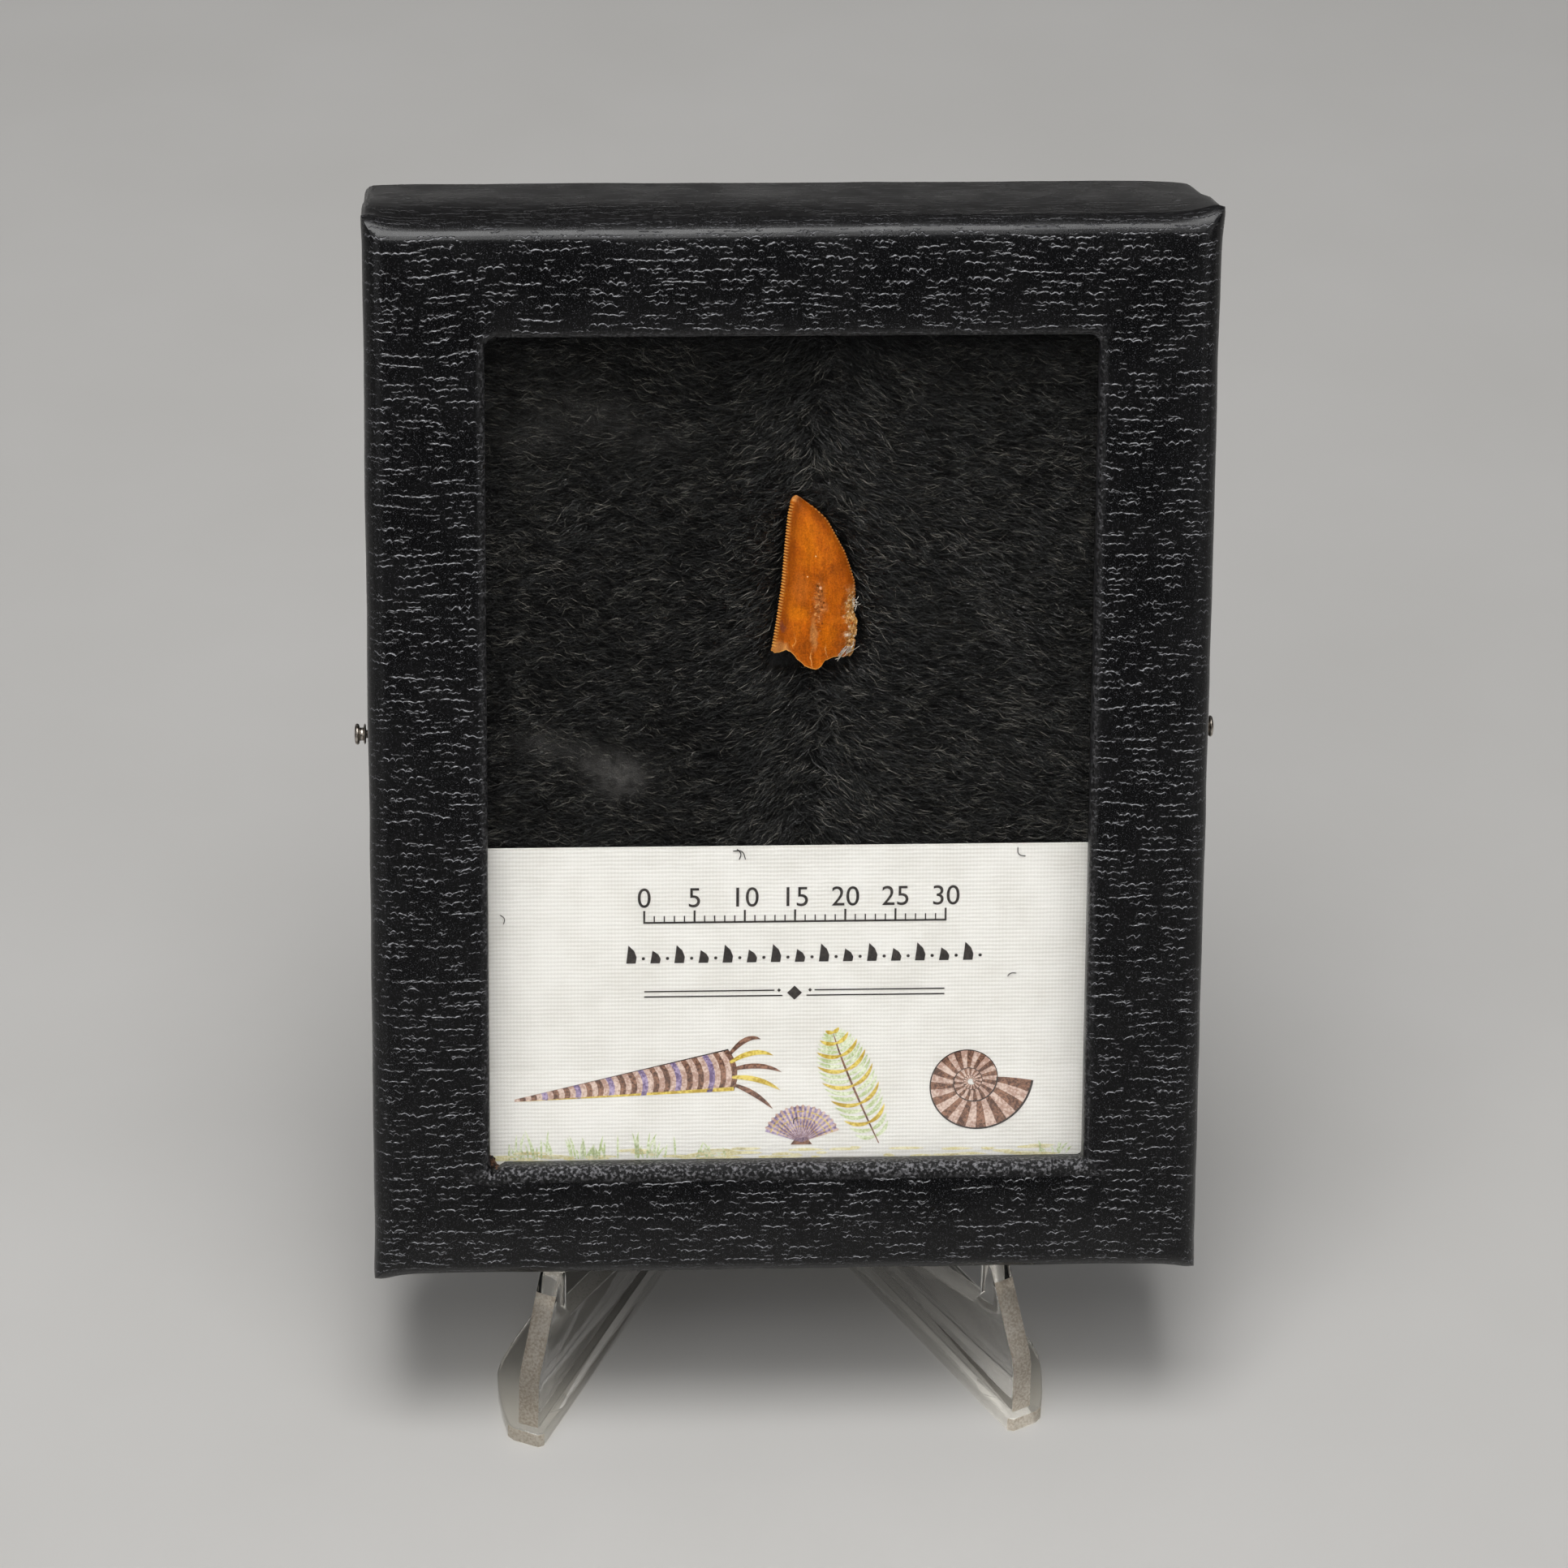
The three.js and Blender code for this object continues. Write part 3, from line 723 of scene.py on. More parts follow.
@dataclass(frozen=True)
class PlushFibre(Finish):
    """Black acrylic pile: each fibre is a thin glossy rod, darkened by painted shade towards its root and
    lightened by a painted grey sheen towards its combed tip.
    """

    name: str = "black acrylic pile"
    # The root colour is painted shade deep in the pile, and the grey tip colour is a painted sheen.
    root: str = "#020202"
    body: str = "#0a0a09"
    tip: str = "#66635d"
    roughness: float = 0.45

    def surface(self, add: AddNode) -> Node:
        """Each fibre's tone, which holds its painted shade and sheen, is read from its mesh.

        Args:
            add: adds a node to the material.

        Returns:
            The shader.
        """
        tone = add("Attribute", attribute_name="tone").outputs["Fac"]
        colour = add("ValToRGB", tone, stops=[(0.0, self.root), (0.5, self.body), (1.0, self.tip)])
        return add("BsdfPrincipled", colour, Roughness=self.roughness, Specular_IOR_Level=0.35)


@dataclass(frozen=True)
class PlushBacking(Finish):
    """Knitted ground of the plush, seen only as black depth between the fibres."""

    name: str = "black plush ground"
    colour: str = "#050506"
    lighter: str = "#0b0b0c"

    def surface(self, add: AddNode, place: BoxFrame) -> Node:
        """Dull tufts.

        Args:
            add: adds a node to the material.
            place: the frame that its patterns lie in.

        Returns:
            The shader.
        """
        tufts = add("TexNoise", place.coordinates(add), Scale=2.5, Detail=3.0)
        tone = add("ValToRGB", tufts, stops=[(0.35, self.colour), (0.7, self.lighter)])
        bump = add("Bump", Height=tufts, Strength=0.8, Distance=0.3 * MM)
        return add("BsdfPrincipled", tone, Normal=bump, Roughness=0.95)


def let_lamps_through(add: AddNode, shader: Node, tint: str) -> Node:
    """Lets lamps shine through a clear material, in the colour of its tint."""
    return add("MixShader", add("LightPath").outputs["Is Shadow Ray"], shader, add("BsdfTransparent", tint))


@dataclass(frozen=True)
class WindowGlass(Finish):
    """Thin float glass: clear, with a sharp faint mirror on both faces."""

    name: str = "float glass"
    tint: str = "#fefefd"

    def surface(self, add: AddNode) -> Node:
        """Clear glass that lets the lamps in."""
        shader = add("BsdfPrincipled", self.tint, Roughness=0.0, IOR=1.5, Transmission_Weight=1.0)
        return let_lamps_through(add, shader, self.tint)


@dataclass(frozen=True)
class GlassHaze(Finish):
    """Finger grease and dust on the glass: a thin pale film that scatters light where it is thick."""

    name: str = "finger haze on glass"
    colour: str = "#bdb9b4"
    thickest: float = 0.2  # how much of what is behind it the film hides

    def surface(self, add: AddNode, place: BoxFrame) -> Node:
        """The film's thickness is read from its mesh, and streaks break it up.

        Args:
            add: adds a node to the material.
            place: the frame that its patterns lie in.

        Returns:
            The shader.
        """
        thickness = add("Attribute", attribute_name="film").outputs["Fac"]
        streaks = add("TexNoise", place.coordinates(add), Scale=0.9, Detail=5.0, Distortion=0.6)
        broken = add("MapRange", streaks, 0.25, 0.75, 0, self.thickest)
        cover = add("Math.MULTIPLY", broken, thickness)
        return add("BsdfPrincipled", self.colour, Alpha=cover, Roughness=0.6)


@dataclass(frozen=True)
class LaidCard(Finish):
    """Laid stationery card: pale warm paper with fine pressed lines across it and finer ones up it."""

    name: str = "laid card"
    colour: str = "#e7e5e1"
    shade: str = "#d7d4ce"
    line_pitch: float = 0.42  # drawn a little coarser than the 0.3 mm of real laid lines

    def surface(self, add: AddNode, place: BoxFrame) -> Node:
        """Two crossed sets of pressed lines under a faint cloud.

        Args:
            add: adds a node to the material.
            place: the frame that its patterns lie in.

        Returns:
            The shader.
        """
        at = place.coordinates(add)
        across, up = (
            add("TexWave", at, bands_direction=way, Scale=BANDS / pitch, Distortion=1.2, Detail=2.0,
                Detail_Scale=0.6).outputs["Fac"]
            for way, pitch in (("Z", self.line_pitch), ("X", self.line_pitch * 0.8))
        )
        weave = add("Math.MULTIPLY_ADD", up, 0.35, across)
        cloud = add("TexNoise", at, Scale=0.25, Detail=4.0)
        amount = add("Math.MULTIPLY_ADD", weave, 0.45, cloud)
        tone = add("ValToRGB", amount, stops=[(0.45, self.shade), (1.0, self.colour)])
        bump = add("Bump", Height=weave, Strength=0.5, Distance=0.03 * MM)
        return add("BsdfPrincipled", tone, Normal=bump, Roughness=0.7)


@dataclass(frozen=True)
class PrintInk(Finish):
    """Ink laid down as fine dots, so that one colour breaks up into another and into the card's."""

    name: str
    dark: str
    light: str
    dot: float = 0.22  # dot spacing, drawn coarser than the press's so that it shows
    grain: float = 1.6

    def surface(self, add: AddNode, place: BoxFrame) -> Node:
        """Dots and washes of its two colours.

        Args:
            add: adds a node to the material.
            place: the frame that its patterns lie in.

        Returns:
            The shader.
        """
        at = place.coordinates(add)
        dots = add("TexNoise", at, Scale=1 / self.dot, Detail=1.0)
        washes = add("TexNoise", at, Scale=1 / self.grain, Detail=3.0)
        amount = add("Math.ADD", dots, washes)
        mean = add("Math.MULTIPLY", amount, 0.5)
        tone = add("ValToRGB", mean, stops=[(0.42, self.dark), (0.6, self.light)])
        return add("BsdfPrincipled", tone, Roughness=0.75)


@dataclass(frozen=True)
class PinSteel(Finish):
    """Drawn and nickel-washed steel: warm grey metal with fine turning marks."""

    name: str = "nickel-washed steel"
    colour: str = "#b9b2a8"
    tarnish: str = "#6d635a"
    spot: float = 0.5  # size of the spots of tarnish
    mark: float = 0.12  # spacing of the turning marks, drawn as coarse as a render shows

    def surface(self, add: AddNode) -> Node:
        """Turned metal with spots of tarnish.

        Args:
            add: adds a node to the material.

        Returns:
            The shader.
        """
        at = add("TexCoord").outputs["Object"]
        spots = add("TexNoise", at, Scale=1 / (self.spot * MM), Detail=4.0)
        marks = add("TexWave", at, bands_direction="X", Scale=BANDS / (self.mark * MM), Distortion=1.0)
        tone = add("ValToRGB", spots, stops=[(0.38, self.tarnish), (0.55, self.colour)])
        gloss = add("MapRange", spots, 0, 1, 0.2, 0.42)
        bump = add("Bump", Height=marks.outputs["Fac"], Strength=0.25, Distance=0.01 * MM)
        return add("BsdfPrincipled", tone, Roughness=gloss, Normal=bump, Metallic=1.0)


class Polish(Enum):
    """How a face of the easel came out of its mould."""

    CLEAR = "moulded clear acrylic"
    GROUND = "acrylic from a ground mould face"


@dataclass(frozen=True)
class EaselAcrylic(Finish):
    """Injection-moulded acrylic: water-clear with soft ripples, or frosted where its mould was ground."""

    polish: Polish
    tint: str = "#f6f5f2"
    frost: str = "#b5a48e"
    ground: str = "#e9dfd0"

    @property
    def name(self) -> str:
        """What it is called."""
        return self.polish.value

    def surface(self, add: AddNode) -> Node:
        """Clear with ripples and scratches, or frosted and blotched.

        Args:
            add: adds a node to the material.

        Returns:
            The shader.
        """
        at = add("TexCoord").outputs["Object"]
        ripple = add("TexNoise", at, Scale=1 / (4.0 * MM), Detail=2.0)
        if self.polish is Polish.CLEAR:
            drawn = add("Mapping", at, Rotation=(0.3, 0.5, 0.9), Scale=(1, 9, 9))
            scratches = add("TexNoise", drawn, Scale=1 / (2.2 * MM), Detail=6.0)
            gloss = add("MapRange", scratches, 0.5, 0.75, 0.02, 0.2)
            bump = add("Bump", Height=ripple, Strength=0.35, Distance=0.06 * MM)
            shader = add("BsdfPrincipled", self.tint, Roughness=gloss, Normal=bump, IOR=1.49,
                         Transmission_Weight=1.0)
        else:
            fine = add("TexNoise", at, Scale=1 / (0.25 * MM), Detail=3.0)
            bump = add("Bump", Height=fine, Strength=0.5, Distance=0.03 * MM)
            blotch = add("Math.MULTIPLY_ADD", ripple, 0.5, fine)
            tone = add("ValToRGB", blotch, stops=[(0.6, self.frost), (0.9, self.ground)])
            shader = add("BsdfPrincipled", tone, Roughness=0.42, Normal=bump, IOR=1.49,
                         Transmission_Weight=0.75)
        return let_lamps_through(add, shader, self.tint)


@dataclass(frozen=True)
class Stain:
    """A patch of another colour on the tooth: its middle and reach in the blade's frame, in millimetres."""

    x: float
    z: float
    across: float
    up: float
    colour: str
    strength: float


@dataclass(frozen=True)
class FossilEnamel(Finish):
    """Mineral-stained tooth enamel: glossy caramel over paler dentine, fine-grained, pale where it broke."""

    name: str = "fossil enamel"
    caramel: str = "#9a4a08"
    honey: str = "#ac5a0b"
    brown: str = "#7a3b0a"
    stains: tuple[Stain, ...] = (
        Stain(-0.55, 13.6, 0.75, 2.5, "#b8640a", 0.55),  # honey flank along the ridge, partly a painted sheen
        Stain(-1.75, 17.6, 0.7, 0.5, "#d99a58", 0.8),  # pale worn tip
        Stain(3.0, 11.2, 1.2, 3.2, "#8a4003", 0.7),
        Stain(-2.3, 11.6, 0.6, 2.4, "#934603", 0.5),
        Stain(-1.3, 8.7, 1.0, 1.8, "#a2581c", 0.55),  # dull patch left of the pits
        Stain(2.1, 8.2, 0.8, 2.0, "#a45006", 0.5),
        Stain(-1.7, 6.1, 1.3, 0.95, "#c26c08", 0.55),  # honey patch low on the left
        Stain(0.6, 7.4, 0.7, 2.1, "#a5693a", 0.5),  # dull band that holds the pits
        Stain(1.35, 3.9, 1.0, 1.7, "#b86206", 0.5),
        Stain(-0.1, 4.2, 0.42, 1.8, "#b57f48", 0.6),  # pale scar down to the root
        Stain(-3.2, 2.5, 0.95, 0.75, "#bd8a52", 0.65),
        Stain(-3.2, 4.7, 0.35, 0.5, "#5f3434", 0.65),
        Stain(-1.88, 3.3, 0.08, 0.9, "#d8964a", 0.6),  # pale cracks in the root
        Stain(-0.3, 1.6, 0.09, 1.2, "#d89a52", 0.6),
        Stain(1.08, 2.3, 0.07, 0.9, "#dca05a", 0.55),
        Stain(0.29, 9.0, 0.17, 0.17, "#4a2208", 0.9),  # single pits, and pale crumbs beside them that also stand as painted sparkle
        Stain(0.7, 8.45, 0.14, 0.14, "#552a0a", 0.9),
        Stain(0.9, 7.3, 0.12, 0.14, "#552a0a", 0.85),
        Stain(0.75, 5.2, 0.15, 0.14, "#552a0a", 0.85),
        Stain(0.55, 8.8, 0.16, 0.2, "#d8a884", 0.8),
        Stain(0.08, 12.0, 0.07, 0.08, "#f0cf9c", 0.9),
        Stain(-0.7, 9.9, 0.08, 0.07, "#f0c88c", 0.9),
        Stain(3.45, 3.8, 0.42, 0.22, "#e8e2da", 0.9),
    )

    def surface(self, add: AddNode, to_blade: Matrix) -> Node:
        """Stains and pits on clouds of colour, pale with wear and a painted highlight on its denticles'
        crowns, painted shade between them and along its edges, painted sparkle by its pits, and bare where it
        broke.

        Args:
            add: adds a node to the material.
            to_blade: takes the model's metres to the blade's own frame in metres.

        Returns:
            The shader.
        """
        at = add("Mapping", add("TexCoord").outputs["Object"], Location=to_blade.translation / MM,
                 Rotation=to_blade.to_euler(), Scale=(1 / MM,) * 3)
        clouds = add("TexNoise", at, Scale=0.42, Detail=6.0, Roughness=0.6)
        colour = add("ValToRGB", clouds, stops=[(0.32, self.brown), (0.48, self.caramel), (0.66, self.honey)])
        wander = add("TexNoise", at, Scale=0.9, Detail=4.0)
        warped = add("VectorMath.MULTIPLY_ADD", wander.outputs["Color"], (1.4, 0, 1.4), at)
        for stain in self.stains:
            wide = stain.up > 0.4  # small marks keep their shape
            middle = (stain.x + 0.7 * wide, 0, stain.z + 0.7 * wide)
            offset = add("VectorMath.SUBTRACT", warped if wide else at, middle)
            scaled = add("VectorMath.MULTIPLY", offset, (1 / stain.across, 0, 1 / stain.up))
            reach = add("VectorMath.LENGTH", scaled)
            cover = add("MapRange", reach, 1.25, 0.35, 0, stain.strength, interpolation_type="SMOOTHSTEP")
            colour = add("Mix.RGBA", cover, colour, stain.colour)
        streaks = add("Mapping", at, Scale=(3.2, 3.2, 0.5))
        grain = add("TexNoise", streaks, Scale=1.0, Detail=5.0)
        speckle = add("TexNoise", at, Scale=6.0, Detail=3.0)
        shade = add("MapRange", grain, 0.3, 0.7, 0.84, 1.22)
        grit = add("MapRange", speckle, 0.3, 0.7, 0.74, 1.36)
        both = add("Math.MULTIPLY", shade, grit)
        toned = add("VectorMath.SCALE", colour, both)
        # A band of pits runs up the middle of the face, with pale crumbs on their rims that also stand as
        # painted sparkle.
        from_pits = add("VectorMath.SUBTRACT", warped, (1.05, 0, 7.9))
        squeezed = add("VectorMath.MULTIPLY", from_pits, (1.7, 0, 0.36))
        band = add("MapRange", add("VectorMath.LENGTH", squeezed), 1.3, 0.5)
        holes = add("TexNoise", at, Scale=2.6, Detail=4.0, Roughness=0.7)
        sunk = add("MapRange", holes, 0.53, 0.62, 0, band)
        crumbs_and_sparkle = add("MapRange", holes, 0.42, 0.36, 0, band)
        pitted = add("Mix.RGBA", sunk, toned, "#6e3a12")
        with_crumbs_and_sparkle = add("Mix.RGBA", crumbs_and_sparkle, pitted, "#c9925a")
        # The denticles' crowns take pale wear with a painted highlight, and the gaps between them take painted
        # shade.
        worn = add("Attribute", attribute_name="worn").outputs["Fac"]
        gaps = add("MapRange", worn, 0.0, -0.8, 0, 0.85)
        gap_shaded = add("Mix.RGBA", gaps, with_crumbs_and_sparkle, "#4a2307")
        crowns = add("MapRange", worn)
        # Painted shade darkens a band just inside each edge.
        edge_shade = add("Attribute", attribute_name="edge_shade").outputs["Fac"]
        half_edge_shade = add("Math.MULTIPLY", edge_shade, 0.5)
        edge_shaded = add("Mix.RGBA", half_edge_shade, gap_shaded, "#6b2f02")
        edged = add("Mix.RGBA", crowns, edge_shaded, "#e0a455")
        broken = add("Attribute", attribute_name="broken").outputs["Fac"]
        crumble = add("TexNoise", at, Scale=3.4, Detail=5.0, Roughness=0.7)
        rubble = add("ValToRGB", crumble, stops=[
            (0.34, "#5a3530"), (0.43, "#9a6228"), (0.52, "#c99652"), (0.6, "#d8b890"), (0.66, "#f0ece6")])
        laid_bare = add("Mix.RGBA", broken, edged, rubble)
        dull = add("Math.MAXIMUM", crowns, broken)
        gloss = add("MapRange", dull, 0, 1, 0.33, 0.75)
        fine = add("Math.MULTIPLY_ADD", speckle, 0.7, grain)
        dented = add("Math.MULTIPLY_ADD", sunk, -1.2, fine)
        lumps = add("Math.MULTIPLY", crumble, broken)
        height = add("Math.MULTIPLY_ADD", lumps, 4.0, dented)
        bump = add("Bump", Height=height, Strength=0.6, Distance=0.08 * MM)
        return add("BsdfPrincipled", laid_bare, Roughness=gloss, Normal=bump,
                   Subsurface_Weight=0.08, Subsurface_Radius=(1.0, 0.35, 0.05), Subsurface_Scale=0.6 * MM,
                   IOR=1.5, Specular_IOR_Level=0.3, Specular_Tint="#f2b878")


# ---- the box


@dataclass
class Lid:
    """The glazed lid: a board frame with side walls, wrapped in one folded sheet."""

    place: BoxFrame
    wall: float = 1.7
    board: float = 2.6
    border: float = 11.6
    outer_round: float = 2.0  # rolled outer edge of the face
    inner_round: float = 0.9  # rolled edge of the window
    window_corners: Rows = ((-1, 0.45), (1, 1.2))  # roundness of the lower and upper
    corner_round: float = 0.8
    near: float = 0.01  # what counts as on an outline
    crown: float = 0.25  # how far the padded face stands proud of its edges
    ear_reach: float = 2.2
    # Each corner's pinched fold: side, end, its height, its spread sideways, and how far the back tucks in.
    corners: Rows = (
        (-1, 1, 0.9, 0.2, 0.35), (1, 1, 1.0, 0.35, 0.95), (-1, 0, 0.62, 0.15, 0.4), (1, 0, 0.5, 0.15, 0.4),
    )
    slit: tuple[float, float, float] = (-29.5, 1.35, 0.8)  # the split at the window: place, width and depth
    # Where the sheet is cut into cells, from its edges inwards.
    cuts_near_edge: tuple[float, ...] = (0.35, 0.7, 1.1, 1.5, 2.0, 2.6, 3.3, 4.2, 5.2)
    cuts_from: float = 6.6
    cuts_apart: float = 1.9
    cuts_at_slit: tuple[float, ...] = (11.9, 12.3, 12.7, 13.1, 13.5)
    cuts_by_window: tuple[float, ...] = (9.2, 9.8, 10.1)
    cuts_back: tuple[float, ...] = (2.6, 3.4, 4.4, 6.0, 9.0, 13.0)

    def shell(self) -> Object:
        """Hollows a block from behind and cuts the window through its face.

        Returns:
            The shell.
        """
        place = self.place
        half = place.width / 2
        lid = add_block("lid_wrap", (-half, self.crown, 0), (half, place.depth, place.height))
        with editing(lid):
            pick(lid, Part.FACES, lambda at, n: n.y > 0.9)
            bpy.ops.mesh.inset(thickness=self.wall * MM)
            hollow = (0, (self.board - place.depth) * MM, 0)
            bpy.ops.mesh.extrude_region_move(TRANSFORM_OT_translate={"value": hollow})
            pick(lid, Part.FACES, lambda at, n: n.y > 0.9 and at.y < place.depth / 2)
            bpy.ops.mesh.inset(thickness=(self.border - self.wall) * MM)
            bpy.ops.mesh.delete(type="FACE")
            pick(lid, Part.FACES, lambda at, n: n.y < -0.9)
            bpy.ops.mesh.inset(thickness=self.border * MM)
            bpy.ops.mesh.delete(type="FACE")
            window = half - self.border + 0.1
            pick(lid, Part.EDGES, lambda at, way: abs(at.x) < window
                 and self.border - 0.1 < at.z < place.height - self.border + 0.1 and abs(way.y) < 0.1)
            bpy.ops.mesh.bridge_edge_loops()
        return lid

    def roll_edges(self, lid: Object) -> None:
        """Rolls the edges of the face and the window, and rounds the corners.

        Args:
            lid: the shell.
        """
        place = self.place
        half = place.width / 2
        inner = half - self.border
        beside = self.border + 2  # square cuts beside each corner, so that the mitres can go

        def on_window(at: Vector) -> bool:
            """Whether a place is on the window's outline."""
            return max(abs(at.x) - inner, self.border - at.z, at.z - place.height + self.border) < self.near

        def at_corner(at: Vector, inset: float) -> bool:
            """Whether a place is on a corner of the outline that is this far in from the box's sides.

            Args:
                at: the place.
                inset: how far in.

            Returns:
                Whether it is.
            """
            middle = place.height / 2
            aside, above = half - inset - abs(at.x), middle - inset - abs(at.z - middle)
            return max(abs(aside), abs(above)) < self.near

        cut_across(lid, 0, [beside - half, half - beside])
        cut_across(lid, 2, [beside, place.height - beside])
        with editing(lid):
            pick(lid, Part.EDGES, lambda at, way: min(abs(way.x), abs(way.z)) > 0.3)
            bpy.ops.mesh.dissolve_edges(use_verts=False)
            turn_outwards()
            for end, radius in self.window_corners:
                pick(lid, Part.EDGES, lambda at, way: abs(way.y) > 0.9 and at_corner(at, self.border)
                     and end * (at.z - place.height / 2) > 0)
                bpy.ops.mesh.bevel(offset=radius * MM, segments=4, affect="EDGES")
            pick(lid, Part.EDGES, lambda at, way: on_window(at) and abs(way.y) < 0.1
                 and at.y < self.crown + self.near)
            bpy.ops.mesh.bevel(offset=self.inner_round * MM, segments=5, affect="EDGES")
            pick(lid, Part.EDGES, lambda at, way: at.y < self.crown + self.near
                 and max(abs(at.x) - half, -at.z, at.z - place.height) > -self.near)
            bpy.ops.mesh.bevel(offset=self.outer_round * MM, segments=7, affect="EDGES")
            pick(lid, Part.EDGES, lambda at, way: abs(way.y) > 0.9 and at.y > self.outer_round + 1
                 and at_corner(at, 0))
            bpy.ops.mesh.bevel(offset=self.corner_round * MM, segments=3, affect="EDGES")

    def grid(self, lid: Object) -> None:
        """Cuts the shell into small cells, closest together where the wrap is folded.

        Args:
            lid: the shell.
        """
        half, height = self.place.width / 2, self.place.height
        columns = [*self.cuts_near_edge, *np.arange(self.cuts_from, half, self.cuts_apart)]
        rows = [*self.cuts_near_edge, *np.arange(self.cuts_from, height / 2, self.cuts_apart)]
        cut_across(lid, 0, [side * (half - column) for column in columns for side in (1, -1)])
        cut_across(lid, 0, [-half + column for column in self.cuts_at_slit])
        cut_across(lid, 2, [place for row in rows for place in (row, height - row)])
        cut_across(lid, 2, self.cuts_by_window)
        cut_across(lid, 1, self.cuts_back)

    def sculpt(self, lid: Object) -> None:
        """Pads the face, waves the sheet, pinches the corners and splits the window's lower left corner.

        Args:
            lid: the shell, cut into cells.
        """
        points = points_of(lid)
        x0, y0, z0 = x, y, z = points.T
        half, height, back = self.place.width / 2, self.place.height, self.place.depth
        edge = np.minimum(np.minimum(half - np.abs(x), z), height - z)
        front = y < self.crown + 0.01
        middle = (self.outer_round + self.border - self.inner_round) / 2
        reach = middle - self.outer_round
        padded = np.where(front, self.crown * np.clip(1 - ((edge - middle) / reach) ** 2, 0, 1), 0)
        outside = (edge < self.wall - 0.2) | (y < self.board - 0.2)
        wave = rough(points, 7.0) * 0.07 + rough(points, 2.6, 5) * 0.025
        wave = np.where(outside, wave, 0)
        y = y - padded - wave * ramp(self.board - y, 0, 1.5)
        x = x + np.sign(x) * wave * ramp(self.outer_round - (half - np.abs(x)), 0, self.outer_round)
        from_end = np.minimum(z, height - z)
        z = z + np.sign(z - height / 2) * wave * ramp(self.outer_round - from_end, 0, self.outer_round)
        # The roll is softer towards the top left corner.
        near_top = ramp(z, height - 4, height - 0.5) * ramp(8 - y0, 0, 8)
        z = z - near_top * ramp(-x, -half, half) * 0.45
        z = z - 0.32 * ramp(z, height - 3, height) * ramp(y0, 7, back)
        for side, end, ear, spread, tuck in self.corners:
            away = np.hypot(x - side * half, z - end * height)
            depth = y0 - 1.9
            pinch = ear * np.exp(-((away / self.ear_reach) ** 1.7)) * (1 - 0.3 * np.exp(-((away / 0.6) ** 2)))
            behind = np.exp(-depth / 7) * (1 - ramp(depth, 7, 13))
            pinch = pinch * np.where(depth < 0, np.exp(-((depth / 1.3) ** 2)), behind)
            tucked = tuck * np.exp(-away / 2.2) * ramp(y0, 8, back)
            x = x + side * (spread * pinch - tucked)
            z = z + (1 if end else -1) * (pinch - 0.5 * tucked)
        # The split: the wrap of the lower rail drops away beside the window's corner.
        at, wide, drop = self.slit
        lower = (z0 > self.border - 2.8) & (z0 < self.border + 0.1)
        lower &= y0 < self.board + 0.1
        left = np.clip(1 - (x0 - at) / wide, 0, 1) * ramp(x0, at - 1.6, at - 0.2)
        z = z - np.where(lower, drop * left * ramp(z0, self.border - 2.7, self.border), 0)
        move_points(lid, places_at(x, y, z))
        # The inner layer marks the crushed grain round the window, whose pebble tops take painted highlights.
        low_rail = z0 < self.border + 0.1  # its roll is crushed widest and takes the widest painted highlight, as it faces up
        crushed = ramp(edge + 0.6 * low_rail, self.border - 0.85, self.border - 0.15)
        add_layer(lid, "inner", crushed * outside * np.where(low_rail, 1, 0.35))

    def torn_flap(self, wrap: Material) -> None:
        """Hangs the torn scrap of the sheet at the split.

        Args:
            wrap: its material.
        """
        flap, (u, v) = add_grid("torn_wrap", 14, 18)
        ragged = 1 + 0.75 * rough(places_at(0, v, 0), 0.22, 3)
        x = self.slit[0] - 0.42 + (u + 0.5) * 0.95 * ragged * (1 - 0.5 * (v + 0.5) ** 2)
        z = self.border + 0.55 + v * 1.35 + 0.2 * rough(places_at(u, v, 0), 0.3, 6)
        y = 1.15 - 0.55 * (u + 0.5) ** 2 + 0.24 * rough(places_at(u, v, 0), 0.35, 2)
        move_points(flap, places_at(x, y, z))
        modify(flap, "SOLIDIFY", thickness=0.16 * MM, offset=0)
        smooth(flap, 60)
        finish_piece(flap, [wrap], self.place.to_model)

    def build(self, wrap: Material, torn: Material) -> None:
        """Builds the lid and puts it in its place.

        Args:
            wrap: the sheet's material.
            torn: the torn scrap's.
        """
        lid = self.shell()
        self.roll_edges(lid)
        self.grid(lid)
        self.sculpt(lid)
        smooth(lid, 50)
        finish_piece(lid, [wrap], self.place.to_model, ["lid"])
        self.torn_flap(torn)


@dataclass
class Tray:
    """The tray that fills the lid from behind."""

    place: BoxFrame
    edge_round: float = 0.25

    def build(self, paper: Material) -> None:
        """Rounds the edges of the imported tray, as its folded paper does.

        Args:
            paper: its material.
        """
        tray = refined_copy("tray", "tray_cover")
        modify(tray, "BEVEL", width=self.edge_round * MM, segments=2, limit_method="ANGLE",
               angle_limit=math.radians(60))
        smooth(tray, 40)
        finish_piece(tray, [paper], replaced=["tray"])


